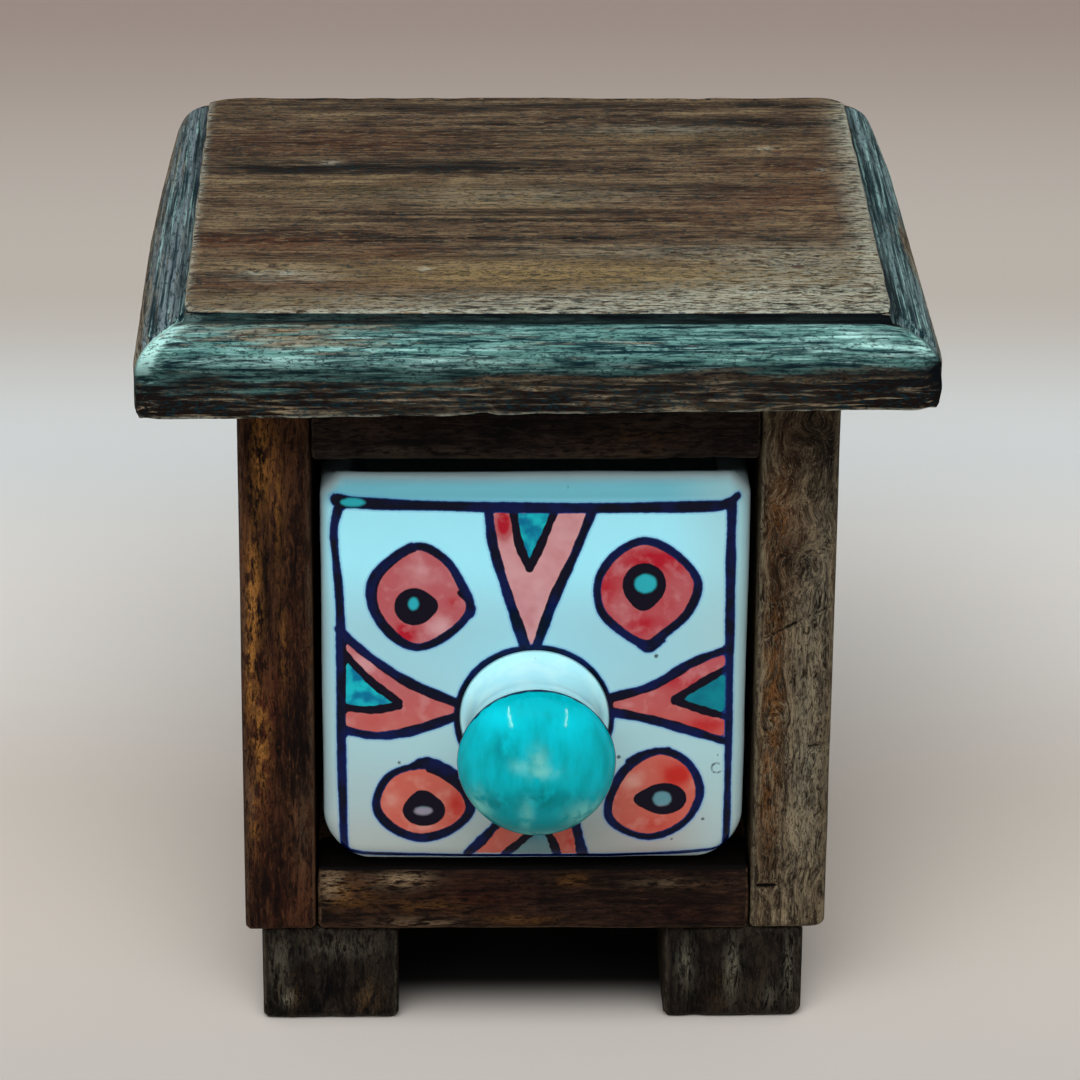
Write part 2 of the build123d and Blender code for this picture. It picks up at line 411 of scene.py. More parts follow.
# %% [markdown]
# A board is the skin of a box. Its lattice lines stand evenly, with three extra ones inside each edge so
# that the rolled edge has enough points. The skin is closed: every point stands once, and each face of
# the box borrows the same edge points.

# %% The closed skin of a box
def skin(counts):
    """Whole-number places of the points on a box's skin, and its quads, anticlockwise seen from outside."""
    grid = np.indices([count + 1 for count in counts]).reshape(3, -1).T
    outside = ((grid == 0) | (grid == np.array(counts))).any(axis=1)
    number = np.where(outside, np.cumsum(outside) - 1, -1).reshape([count + 1 for count in counts])
    quads = []
    for axis in range(3):
        for end, flipped in ((0, axis != 1), (-1, axis == 1)):
            sheet = number.take(end, axis=axis)
            corners = [sheet[:-1, :-1], sheet[1:, :-1], sheet[1:, 1:], sheet[:-1, 1:]]
            if flipped:
                corners.reverse()
            quads.append(np.stack(corners, axis=-1).reshape(-1, 4))
    return grid[outside], np.concatenate(quads)


def board_lines(low, high, step, edge):
    """Where the lattice lines stand along one axis, closer together inside the rolled edges."""
    rolled = edge * np.array([0.0, 0.42, 0.73])
    between = max(1, round((high - low - 2 * edge) / step))
    inside = np.linspace(low + edge, high - edge, between + 1)
    return np.concatenate([low + rolled, inside, high - rolled[::-1]])


def worn_box(low, high, step, edge, seed):
    """Points, outward directions and quads of a board whose edge radius wanders along its edges.

    A point keeps its place on a flat. Near an edge it moves to the surface of a ball of the worn radius
    that rolls along inside the edge.
    """
    lines = [board_lines(a, b, s, edge) for a, b, s in zip(low, high, step)]
    spots, quads = skin([len(line) - 1 for line in lines])
    points = np.stack([line[spots[:, axis]] for axis, line in enumerate(lines)], axis=1)
    radius = edge * (0.35 + 0.65 * hills(points, 9.0, seed))[:, None]
    inner = np.clip(points, low + radius, high - radius)
    outward = points - inner
    outward /= np.linalg.norm(outward, axis=1, keepdims=True)
    return inner + outward * radius, outward, quads


def rolled_share(outward):
    """0 on a flat, 1 in the middle of a rolled edge: how far the direction leans from its nearest axis."""
    return np.clip((1 - np.abs(outward).max(axis=1)) / 0.25, 0, 1)


def grain_relief(points, grain, seed, depth):
    """How far the soft wood has sunk between the hard lines: hills drawn out along the grain."""
    narrow, wide = np.full(3, 1.8), np.full(3, 5.5)
    narrow[grain], wide[grain] = 30.0, 70.0
    return depth * (0.6 * hills(points, narrow, seed) + 0.4 * hills(points, wide, seed + 1))


def knocks(points, seed, depth):
    """Shallow dents where two kinds of small hills happen to be high together."""
    both = hills(points, 3.2, seed) * hills(points, 7.5, seed + 1)
    return depth * np.clip((both - 0.52) / 0.3, 0, 1)


# %% [markdown]
# The top board takes the most skill. It is one thick board with its front and two sides run through a
# moulding cutter: a square band at the bottom, a quarter-round ovolo, and a small upright step, the
# quirk, up to the flat field. The two runs meet in a mitre at each front corner, and the back is sawn
# flat. Here the lattice of the box is bent to that profile: each level of the lattice stands out from
# the field by its own distance, on three sides alike, so the mitres come by themselves.

# %% The moulding's profile
band_height = 6.6
band_arris = 0.8
ovolo_run = 7.2
ovolo_rise = 5.3
field_edge = 0.4
top_thickness = top_high[2] - top_low[2]


def moulding():
    """Distance out from the field, height, and outward direction at each level, from the underside up."""
    rolled = np.radians([0, 30, 60, 90])
    turn = np.radians(np.linspace(0, 90, 20))
    quirk_foot, quirk_top = band_height + ovolo_rise, top_thickness - field_edge
    band = band_arris + np.linspace(0, 1, 11)[1:-1] * (band_height - band_arris)
    climb = np.linspace(quirk_foot, quirk_top, 4)[1:-1]
    # The five stretches: arris, band, ovolo, quirk and the field's edge
    out = [
        ovolo_run - band_arris + band_arris * np.sin(rolled),
        np.full(len(band), ovolo_run),
        ovolo_run * np.cos(turn),
        np.zeros(len(climb)),
        field_edge * (np.cos(rolled) - 1),
    ]
    height = [
        band_arris - band_arris * np.cos(rolled),
        band,
        band_height + ovolo_rise * np.sin(turn),
        climb,
        quirk_top + field_edge * np.sin(rolled),
    ]
    sideways = [
        np.sin(rolled),
        np.ones(len(band)),
        np.cos(turn) / ovolo_run,
        np.ones(len(climb)),
        np.cos(rolled),
    ]
    upwards = [
        -np.cos(rolled),
        np.zeros(len(band)),
        np.sin(turn) / ovolo_rise,
        np.zeros(len(climb)),
        np.sin(rolled),
    ]
    out, height, sideways, upwards = (np.concatenate(part) for part in (out, height, sideways, upwards))
    size = np.hypot(sideways, upwards)
    return out, height, sideways / size, upwards / size


# %% Bend the lattice to the profile
lattice_step = 0.68
out, height, sideways, upwards = moulding()
field_half = top_high[0] - ovolo_run
field_front = top_low[1] + ovolo_run
top_counts = [round(size / lattice_step) for size in (top_high - top_low)[:2]] + [len(out) - 1]
spots, top_quads = skin(top_counts)
level = spots[:, 2]
rise = height[level]
across = 2 * spots[:, 0] / top_counts[0] - 1
along = spots[:, 1] / top_counts[1]
level_front = field_front - out[level]
point_x = across * (field_half + out[level])
point_y = level_front + along * (top_high[1] - level_front)
top_points = np.stack([point_x, point_y, top_low[2] + rise], axis=1)
on_side, on_front, on_back = np.abs(across) == 1, along == 0, along == 1
is_top, is_under = level == top_counts[2], level == 0
moulded = on_side | on_front
top_out = np.zeros_like(top_points)
top_out[:, 0] = np.where(on_side, np.sign(across) * sideways[level], 0)
top_out[:, 1] = np.where(on_back, 1.0, np.where(on_front, -sideways[level], 0))
top_out[:, 2] = np.where(moulded, upwards[level], 0) + is_top - is_under
top_out /= np.linalg.norm(top_out, axis=1, keepdims=True)

# %% [markdown]
# The board was run and sawn by hand. Its left end is left a little thicker, the quirk swings back there,
# the sides are rubbed down towards the back, and the field's back corners are worn away.

# %% The board's unevenness
left_thicker = 1.4
quirk_swing = 1.3
corner_wear = 0.7
board_depth = top_high[1] - top_low[1]
right_share = (top_points[:, 0] - top_low[0]) / (top_high[0] - top_low[0])
rise_share = rise / top_thickness
back_gap = top_high[1] - top_points[:, 1]


def rub_towards_back(most, reach, power):
    """Nothing until reach millimetres from the back edge, then growing to most: share to a power."""
    return most * np.clip(1 - back_gap / reach, 0, 1) ** power


left_rub = rub_towards_back(0.265, 58.0, 1.5)
right_rub = rub_towards_back(0.15, 26.0, 1.3) + rub_towards_back(0.19, board_depth, 0.8)
beyond_field = np.clip(np.abs(top_points[:, 0]) - field_half, 0, None)
top_points[:, 0] -= np.sign(across) * beyond_field * np.where(across < 0, left_rub, right_rub)
top_points[:, 2] -= left_thicker * (1 - right_share) ** 1.3 * np.clip(1 - rise_share / 0.9, 0, 1)
swing = quirk_swing * (1 - right_share) ** 7 * rise_share
top_points[:, 1] += swing * np.clip(back_gap / 90, 0, 1)
level_front = level_front + swing
above_quirk = np.clip((rise - band_height - ovolo_rise) / (top_thickness - band_height - ovolo_rise), 0, 1)
from_corner = np.hypot(np.abs(top_points[:, 0]) - field_half, back_gap)
top_points[:, 2] -= corner_wear * above_quirk * np.exp(-((from_corner / np.where(across < 0, 2.4, 2.0)) ** 2))
print("share of the ovolo rubbed away at the back, left and right", left_rub.max(), round(right_rub.max(), 3))

# %% Wear the top board
# Distances that say what a point belongs to: the mitred corners, the back edge and the field's rim
from_side = np.maximum(0, field_half + out[level] - np.abs(top_points[:, 0]))
from_front = np.maximum(0, top_points[:, 1] - level_front)
corner_gap = np.hypot(from_side, from_front)
at_corner = np.exp(-((corner_gap / 2.2) ** 2))
at_back = np.exp(-((top_high[1] - top_points[:, 1]) ** 2))
rim_gap = np.minimum(field_half - np.abs(top_points[:, 0]), top_points[:, 1] - field_front)
arris_wear = np.exp(-((rise / 1.2) ** 2)) * moulded
field_wear = np.exp(-(((rise - top_thickness) / 0.7) ** 2)) * np.exp(-((rim_gap / 0.8) ** 2))

calm = np.clip(0.35 + rim_gap / 5.0, 0.35, 1)
top_relief = calm * grain_relief(top_points, 0, 3, 0.26) + knocks(top_points, 5, 0.3)
top_relief += at_corner * (0.35 + 0.5 * hills(top_points, 2.5, 9))
top_relief += at_back * (0.1 + 0.5 * hills(top_points, 4.0, 13)) * ~(is_under & ~on_back)
top_relief += arris_wear * 0.35 * hills(top_points, 5.0, 17)
top_relief += field_wear * 0.3 * hills(top_points, (5.0, 5.0, 3.0), 19)

# Knocks and marks that stand out on the field, each at its own place
top_marks = [
    ((-41.7, -24.1), (1.6, 0.9), 0.35),
    ((-37.3, -24.3), (1.3, 0.7), 0.3),
    ((-16.6, -22.9), (0.9, 0.8), 0.3),
    ((37.5, 31.1), (1.0, 0.7), 0.35),
    ((-31.7, 24.1), (1.4, 0.8), 0.25),
    ((45.8, 20.8), (0.7, 0.6), 0.35),
]
scars = np.zeros(len(top_points))
for (x, y), (reach_x, reach_y), depth in top_marks:
    scar = near(top_points, (x, y, top_high[2]), (reach_x, reach_y, 1.0))
    top_relief += depth * scar
    scars += scar
top_relief += 0.3 * near_line(top_points, (35.0, -22.2, top_high[2]), (39.5, -15.9, top_high[2]), 0.6)
# The brads were punched below the wood, over the middle of each side board
brad_low, brad_high = box_mm("top_brads")
brad_head_half, brad_wire_half = 1.0, 0.5
for x in (brad_low[0] + brad_head_half, brad_high[0] - brad_head_half):
    for y in (brad_low[1] + brad_wire_half, brad_high[1] - brad_wire_half):
        top_relief += 0.5 * near(top_points, (x, y, top_high[2]), (1.1, 0.8, 1.0))
# Low down, the worn corners go in sideways as well as up, so that no point is left standing there
low_corner = at_corner * (level < 4) * (top_points[:, 1] < 0)
inward = np.stack([-np.sign(across), np.ones(len(across)), np.zeros(len(across))], axis=1)
top_surface = top_points - top_out * (top_relief * (1 - 0.6 * low_corner))[:, None]
top_surface = top_surface + inward * (0.62 * low_corner)[:, None]

# %% [markdown]
# The colours of the field don't come evenly either. The photograph shows dark streaks at the back and
# the middle, a golden band near the front, a red-brown patch at the back right, and a bleached rim
# where hands and cloths have worn the stain. Each is one soft patch with a place, a reach and a strength.

# %% Where the top's stain changes
# Each patch has its place in X and Y, its reach along each, and its strength
field_gold = [
    (-4, -25, 24, 6, 1.0),
    (28, -27, 22, 6, 0.6),
    (-2, 8, 14, 6, 0.4),
    (-38, -36, 16, 2.5, 0.7),
    (20, 36, 22, 3, 0.35),
    (-30, 13, 14, 5, 0.3),
]
field_red = [
    (42, 18, 10, 16, 0.5),
    (-44, -12, 16, 4, 0.9),
    (-34, -29, 20, 2.6, 0.9),
    (-30, 34, 22, 6, 0.5),
    (-20, -16, 10, 3, 0.6),
    (28, 4, 22, 8, 0.4),
]
field_dark = [
    (-30, 22.4, 20, 3.4, 0.9),
    (-31, 20.7, 10, 1.0, 1.3),
    (-16, 21.7, 12, 0.8, 1.3),
    (-4, 24.2, 14, 1.6, 0.9),
    (-24, 7, 18, 2.0, 0.25),
    (30, 14, 14, 3.0, 0.3),
    (2, 1.7, 16, 1.8, 0.8),
    (33, 44, 10, 2.5, 0.9),
    (-10, 51, 44, 2.5, 0.7),
    (-44, 22, 8, 3, 0.5),
    (20, 12, 20, 1.2, 0.5),
    (-30, -2, 14, 1.2, 0.4),
    (40, 26, 10, 1.4, 0.5),
]
field_pale = [
    (0, 9, 22, 4, 0.3),
    (-37, -26, 8, 3, 0.5),
    (10, -37, 44, 4, 1.0),
    (36, -34, 20, 6, 1.0),
    (40, -22, 12, 8, 0.6),
    (50.5, -8, 2.4, 40, 0.9),
    (0, -40.3, 60, 1.0, 0.9),
    (52, 40, 2.5, 20, 0.8),
    (22, 40, 14, 2, 0.4),
    (20, -16, 24, 3, 0.3),
]

# %% [markdown]
# The moulding was painted blue-green, and most of it has gone. On the front it is left on the ovolo and
# fades down into the band. The two sides keep less, and one stretch of the right one is bare. The groove
# under the field and the crease above the band are painted near black as shade, and the front mitres and
# the high parts of the ovolo carry painted highlights.

# %% Where the moulding keeps its paint
paint_on_front, paint_on_left, paint_on_right, paint_right_front = 0.68, 0.18, 0.52, 0.34
on_ovolo = moulded & (rise > band_height - 0.4) & (rise < band_height + ovolo_rise + 0.4)
ovolo_rest = np.clip((rise - band_height) / ovolo_rise, 0, 1)
ragged = 2.8 * (hills(top_points, (13, 13, 4), 43) - 0.5) + 1.2 * (1 - right_share) ** 3
fade = ease(np.clip((rise + ragged - 3.8) / 3.8, 0, 1)) * moulded * (rise < top_thickness - 0.3)
right_paint = np.where(top_points[:, 1] > 2, paint_on_right, paint_right_front)
side_paint = np.where(across < 0, paint_on_left, right_paint) + 0.5 * ovolo_rest
bare_patch = near(top_points, (top_high[0] - 2, 0, 118), (9, 15, 7)) * on_side
paint_share = fade * np.where(on_front, paint_on_front, side_paint)
paint_share += 0.22 * np.clip(rise / 3, 0, 1) * on_front * (rise < 4.4)
paint_share -= 0.3 * near(top_points, (-34, top_low[1] + 7, 121.0), (20, 6, 1.5)) * on_front
paint_share -= 0.34 * bare_patch

# %% Where the moulding carries painted highlights and painted shade, and where it is dark
mitre_gap = (top_points[:, 0] + field_half) - (top_points[:, 1] - field_front)
on_mitre = np.exp(-((mitre_gap / 1.9) ** 2)) * (top_points[:, 0] < 0) * on_ovolo
# Painted highlights along the left mitre, near both front corners and on the high front ovolo
glow = 0.6 * on_mitre
glow += 0.2 * near(top_points, (top_high[0] - 8, top_low[1] + 4, 119), (17, 5, 2.5))
glow += 0.3 * near(top_points, (-25, top_low[1] + 4, 118.0), (30, 5, 1.6))
glow += 0.27 * on_ovolo * on_front * (0.5 + 0.5 * ovolo_rest)
# Painted shade: near black in the groove under the field, in the front crease above the band, and at the
# front right corner
groove = moulded & (out[level] < 1.2) & (rise < top_thickness - 0.35)
groove_shade_strength = np.where(on_front, 0.84 + 0.16 * right_share, 0.25 + 0.4 * hills(top_points, (3, 12, 3), 29))
painted_groove_shade = groove * groove_shade_strength
painted_groove_shade += 0.72 * on_front * np.clip(1 - ovolo_rest / 0.55, 0, 1) * np.clip((rise - 3.4) / 3, 0, 1)
painted_groove_shade += 0.8 * near(top_points, (top_high[0], top_low[1], 116), (2.2, 2.2, 5))
on_band = moulded * (rise < 7)
band_share = moulded * np.clip((7.2 - rise) / 2.4, 0, 1) * (0.78 + 0.3 * hills(top_points, (16, 16, 5), 37))
band_share += on_band * 0.5 * near(top_points, (top_low[0], top_low[1], 112), (14, 12, 9))
band_share += on_band * 0.7 * near(top_points, (top_high[0], top_low[1], 112), (11, 12, 9))
pale_share = (0.4 + 0.4 * (across == 1) - 0.6 * bare_patch) * on_ovolo + 0.25 * on_front * (rise < 6)
edge_share = 0.62 * arris_wear * (rise < 0.7) + 0.9 * field_wear + 0.4 * at_corner * (rise > 5) + 0.8 * scars

# %% The top board
top_wood = old_wood(
    "old_mango_board_rubbed_paint",
    grain=0,
    tones=("#140D0A", "#554030", "#8E7A5C", "#A48C5C", "#5E331C", "#C2C6B2", "#BCBEAC"),
    seed=1.0,
    fibre_length=14.0,
    band_length=34.0,
    softness=0.72,
    paint=("#08282F", "#609089", "#B8EAE2", "#76848A"),
)
make_piece(
    "worn_top_board",
    top_surface,
    top_quads.tolist(),
    top_wood,
    "carcass",
    ["top_board"],
    "moulded_top",
    gold=patches(top_points, field_gold) * is_top,
    red=patches(top_points, field_red) * is_top,
    dark=np.clip(patches(top_points, field_dark) * is_top + band_share + 0.5 * bare_patch, 0, 1.3),
    pale=patches(top_points, field_pale) * is_top + pale_share,
    side=1.0 * (on_side & ~is_top),
    cold=np.where(across < 0, 0.95, 0.7) * (on_side & ~is_top),
    edge=np.clip(edge_share, 0, 1),
    paint=np.clip(paint_share, 0, 1),
    glow=glow,
    groove=painted_groove_shade,
)

# %% [markdown]
# The other boards are plain sawn stock, so one function makes them all. What sets them apart is a short
# list: which way the grain runs, the tones of the stain, and where it is rubbed through.

# %% Plain boards
# What a point carries where no crack, or no paint, is anywhere near
far_off = 9.0
# How strongly each tone shows by chance on the faces that the photograph doesn't show
chance_share = {"gold": 0.5, "red": 0.4, "pale": 0.25, "dark": 0.2}
# How deep the raised grain, the knocks and the roughness of the rounded edges go, in millimetres
grain_depth, knock_depth, edge_depth = 0.24, 0.4, 0.25


def plain_board(
    name, node, slot, stock, grain, step, edge, tones, seed, marks=(), cracks_and_shade_lines=(), curl=0.4,
    low_more=0.0, high_more=0.0, fibre_length=9.0, band_length=26.0, knots=(), **zones
):
    """A worn board in place of one node.

    marks are (centre, reach, depth), and cracks_and_shade_lines are (start, end, width, depth): real cracks,
    and lines painted near black as shade. low_more and high_more say how much further out its left and right
    faces were sawn. zones gives patches on the front edge for gold, red, pale or dark, each in X and Z.
    """
    low, high = box_mm(node)
    low[0] -= low_more
    high[0] += high_more
    points, outward, quads = worn_box(low, high, step, edge, seed)
    rolled = rolled_share(outward)
    relief = grain_relief(points, grain, seed + 2, grain_depth) + knocks(points, seed + 4, knock_depth)
    relief += rolled * edge_depth * hills(points, 2.2, seed + 6)
    for centre, reach, depth in marks:
        relief += depth * near(points, centre, reach)
    crack_and_shade_gap = np.full(len(points), far_off)
    for start, end, width, depth in cracks_and_shade_lines:
        gap = line_gap(points, start, end) + 0.3 * hills(points, 2.6, seed) - 0.15
        crack_and_shade_gap = np.minimum(crack_and_shade_gap, gap - width / 2)
        relief += depth * np.exp(-((gap / width) ** 2))
    face = points[:, [0, 2]]
    front = np.clip(-outward[:, 1] * 1.6, 0, 1)
    values = {"edge": 0.75 * rolled, "crack_and_shade": crack_and_shade_gap}
    for tone, most in chance_share.items():
        chance = most * np.clip(hills(points, 16.0, seed + len(tone)) * 1.6 - 0.6, 0, 1)
        values[tone] = front * patches(face, zones.get(tone, ())) + (1 - front) * chance
    values["knot"] = front * patches(face, knots)
    wood = old_wood(
        f"{stock}_{node}", grain, tones, 0.7 * seed, fibre_length, band_length, curl=curl, knot=bool(knots)
    )
    surface = points - outward * relief[:, None]
    make_piece(name, surface, quads.tolist(), wood, "carcass", [node], slot, **values)


# %% [markdown]
# The side boards stand upright and so does their grain. The left one is dark and waxed, rubbed golden
# along its outer edge. The right one is paler and greyer, with a knot near its top that the grain flows
# round, a long slanting crack beside the drawer, and a notch where the wood broke out.

# %% The side boards
plain_board(
    "worn_left_side",
    "left_side",
    "side_boards",
    "sheesham_stained_and_waxed",
    grain=2,
    step=(0.7, 0.8, 0.75),
    edge=1.7,
    tones=("#0A0605", "#2D1A12", "#573722", "#AC7438", "#451D12", "#7C6852", "#5C4636"),
    seed=21,
    fibre_length=6.0,
    band_length=12.0,
    curl=0.9,
    gold=[
        (-41.2, 98, 1.4, 8, 1.0),
        (-42.8, 74, 1.1, 10, 1.0),
        (-43.6, 62, 0.7, 9, 0.8),
        (-42, 50, 1.3, 8, 0.9),
        (-43.4, 36, 0.8, 6, 0.6),
        (-39, 90, 0.8, 10, 0.6),
        (-38.4, 66, 0.6, 8, 0.5),
    ],
    red=[(-41, 54, 2.5, 9, 0.9), (-42, 36, 3, 10, 0.6), (-38, 22, 4, 6, 0.5), (-37, 70, 1.5, 10, 0.4)],
    dark=[(-37, 80, 2.5, 12, 0.8), (-37, 47, 3, 12, 0.9), (-41, 25, 5, 10, 0.7)],
    pale=[(-36, 36, 1, 8, 0.35), (-44, 40, 0.8, 6, 0.4)],
)
plain_board(
    "worn_right_side",
    "right_side",
    "side_boards",
    "sheesham_worn_grey",
    grain=2,
    step=(0.56, 0.8, 0.6),
    edge=1.7,
    tones=("#0D0907", "#453729", "#82735A", "#7C5028", "#462414", "#8C8674", "#7E745F"),
    seed=33,
    fibre_length=8.0,
    band_length=12.0,
    marks=[((43.6, front_y, 48.4), (1.3, 1.5, 0.7), 0.7), ((43.8, front_y, 50.5), (0.5, 1.5, 1.6), 0.6)],
    cracks_and_shade_lines=[
        ((34.0, front_y, 66.4), (40.4, front_y, 69.9), 0.35, 0.5),
        ((40.4, front_y, 69.9), (45.6, front_y, 72.7), 0.3, 0.5),
        ((34.9, front_y, 24.3), (38.0, front_y, 24.3), 0.6, 0.5),
        ((42.3, front_y, 48.4), (44.8, front_y, 48.2), 0.6, 0.4),
        ((43.8, front_y, 48.4), (43.8, front_y, 51.6), 0.4, 0.3),
    ],
    curl=2.0,
    high_more=0.8,
    gold=[(36.8, 86, 1.8, 8, 0.8), (36.5, 60, 1.6, 14, 0.8), (36.5, 40, 1.5, 10, 0.6)],
    knots=[(41, 101, 6, 9, 1.0), (40, 84, 5, 8, 1.0), (37, 56, 3, 8, 0.5), (43, 30, 4, 8, 0.4)],
    red=[(38.5, 84, 2.2, 8, 0.8), (38, 100, 2, 5, 0.5)],
    pale=[(42, 60, 2.6, 20, 0.65), (42, 36, 3, 14, 0.5), (44, 86, 1.2, 16, 0.5)],
    dark=[(42, 99, 3, 6, 0.7), (38.4, 80.5, 2, 4.4, 0.8), (36.5, 78, 1.6, 6, 0.5), (44.4, 96, 1, 14, 0.7)],
)

# %% [markdown]
# The boards over and under the drawer lie with their grain across. The upper one is stained nearly black
# as painted shade, for the shadow of the top. Along the floor board's upper front edge, under the drawer,
# the wood is worn into a shallow hollow where the drawer slides over it, and painted near black as shade in
# the gap.

# %% The boards over and under the drawer
plain_board(
    "worn_ceiling_board",
    "ceiling_board",
    "cross_boards",
    # Nearly black: painted shade under the top
    "sheesham_dark_as_painted_shade",
    grain=0,
    step=(0.8, 1.0, 0.75),
    edge=1.2,
    tones=("#060404", "#17110F", "#322620", "#5A3C1E", "#2E150E", "#54493C", "#4A4034"),
    seed=41,
    gold=[(15, 100, 8, 3, 0.4), (-20, 104, 10, 2, 0.3)],
    pale=[(-20, 98.2, 14, 0.8, 0.6), (12, 97.8, 12, 0.6, 0.5), (20, 103, 8, 2, 0.3)],
    dark=[(-5, 106, 30, 3, 0.6)],
)
plain_board(
    "worn_floor_board",
    "floor_board",
    "cross_boards",
    "sheesham_stained_and_waxed",
    grain=0,
    step=(0.8, 1.0, 0.75),
    edge=1.3,
    tones=("#080504", "#1E120E", "#3C281C", "#7E5428", "#3A180F", "#A48C6C", "#6A5440"),
    seed=55,
    marks=[((-31, front_y, 24.5), (1.6, 1.5, 2.2), 0.4), ((-20, front_y, 25.5), (3, 1.5, 1.2), 0.35)],
    cracks_and_shade_lines=[
        ((15.4, front_y, 23.8), (24.4, front_y, 26.3), 0.3, 0.35),
        # Painted shade: the next four lie under the drawer and are painted near black in the gap; the first
        # two also sink the wood a little
        ((-33.0, front_y + 0.4, 28.6), (33.0, front_y + 0.4, 28.6), 2.8, 0.3),
        ((-33.0, front_y + 2.8, 28.4), (33.0, front_y + 2.8, 28.4), 4.4, 0.1),
        ((-33.0, front_y + 7.0, 28.3), (-25.0, front_y + 7.0, 28.3), 6.0, 0.0),
        ((25.0, front_y + 7.0, 28.3), (33.0, front_y + 7.0, 28.3), 6.0, 0.0),
    ],
    gold=[
        (-29, 23, 3.5, 2.5, 0.7),
        (6.5, 25.4, 2.5, 1.0, 0.7),
        (-2, 18.6, 5, 0.8, 0.6),
        (-17, 21, 6, 1.5, 0.4),
    ],
    red=[(-8, 23, 8, 3, 0.6), (22, 20, 8, 2, 0.4)],
    pale=[
        (-31.5, 25, 2, 2.4, 0.8),
        (-20.5, 25.6, 4, 1.2, 0.9),
        (-18, 18, 6, 0.8, 0.5),
        (20, 25, 5, 0.5, 0.6),
    ],
    dark=[(20, 22, 14, 5, 0.6)],
)

# %% [markdown]
# The runners show their sawn ends to the front, so the fibres there are short and the stain has soaked in
# black. The back panel is thin plain stock that nobody looks at.

# %% The runners and the back panel
for side, seed, low_more, high_more in (("left", 61, 0, 0.5), ("right", 73, 1.0, 0)):
    plain_board(
        f"worn_{side}_runner",
        f"{side}_runner",
        "runners",
        "end_grain_nearly_black",
        grain=2,
        step=(0.65, 1.0, 0.65),
        edge=1.9,
        tones=("#040303", "#14100D", "#2E261E", "#5A442C", "#2A150E", "#84806E", "#4E483C"),
        seed=seed,
        low_more=low_more,
        high_more=high_more,
        curl=1.2,
        fibre_length=3.0,
        band_length=4.0,
        gold=[(-38, 5, 2, 3, 0.5), (-26, 4, 2, 3, 0.8), (30, 5, 2, 3, 0.4)],
        pale=[
            (-38.5, 4.1, 0.8, 1.3, 1.0),
            (-40, 10, 1.6, 5, 0.35),
            (-30, 13, 6, 2, 0.3),
            (24, 9.7, 1.2, 4, 0.6),
            (31.5, 9, 1.1, 5, 0.75),
            (37.5, 4, 1.2, 2, 0.4),
            (40.4, 9, 0.8, 6, 0.6),
        ],
    )
plain_board(
    "worn_back_panel",
    "back_panel",
    "back_panel",
    "thin_stained_mango",
    grain=2,
    step=(0.85, 0.8, 0.85),
    edge=1.0,
    tones=("#1C1410", "#3E2E22", "#5E4A36", "#80603A", "#50301F", "#7A6E5A", "#6A5C48"),
    seed=87,
)

# %% [markdown]
# The drawer is cast in a mould, glazed white, painted by brush and glazed again. Its shape is one ring
# after another: a rounded rectangle that grows from the middle of the underside, turns up the outside,
# rolls over the rim and goes down the inside to the middle of the floor. The front of each ring has the
# most points, because the painting there is carried by the points.

# %% One ring of the tray
tray_wall, tray_floor = 5.0, 6.0
tray_corner, inner_corner = 4.2, 5.0
front_crown = 0.5
tray_foot = 0.95 * tray_corner
inner_foot = 0.8 * inner_corner
tray_rim = 0.46 * tray_wall
half_width = tray_high[0]
least_radius = 0.21


def plan_template(front_points=210, side_points=40, back_points=36, corner_points=8):
    """Once round a rounded rectangle, anticlockwise from above.

    Gives the share of the way to the middle of each corner arc, from -1 to 1 in X and Y, and the
    direction in which the corner radius is laid off.
    """
    share_x, share_y, turn = [], [], []
    corners = ((-1, -1), (1, -1), (1, 1), (-1, 1))
    for k, count in enumerate((front_points, side_points, back_points, side_points)):
        begin, end = np.array(corners[k]), np.array(corners[(k + 1) % 4])
        share = np.linspace(0, 1, count)[:, None]
        run = begin + share * (end - begin)
        arc = np.linspace(0, 90, corner_points + 2)[1:-1]
        share_x += [run[:, 0], np.full(corner_points, end[0])]
        share_y += [run[:, 1], np.full(corner_points, end[1])]
        turn += [np.full(count, 90.0 * k - 90), 90.0 * k - 90 + arc]
    angle = np.radians(np.concatenate(turn))
    return np.concatenate(share_x), np.concatenate(share_y), np.cos(angle), np.sin(angle)


# %% The rings, one after another
middle_rings, foot_rings, wall_rings, rim_rings, inner_rings = 12, 13, 176, 7, 26
# The wall goes on from the foot's last ring, and the rim from the wall's
outer_count = middle_rings + foot_rings + wall_rings + rim_rings - 2


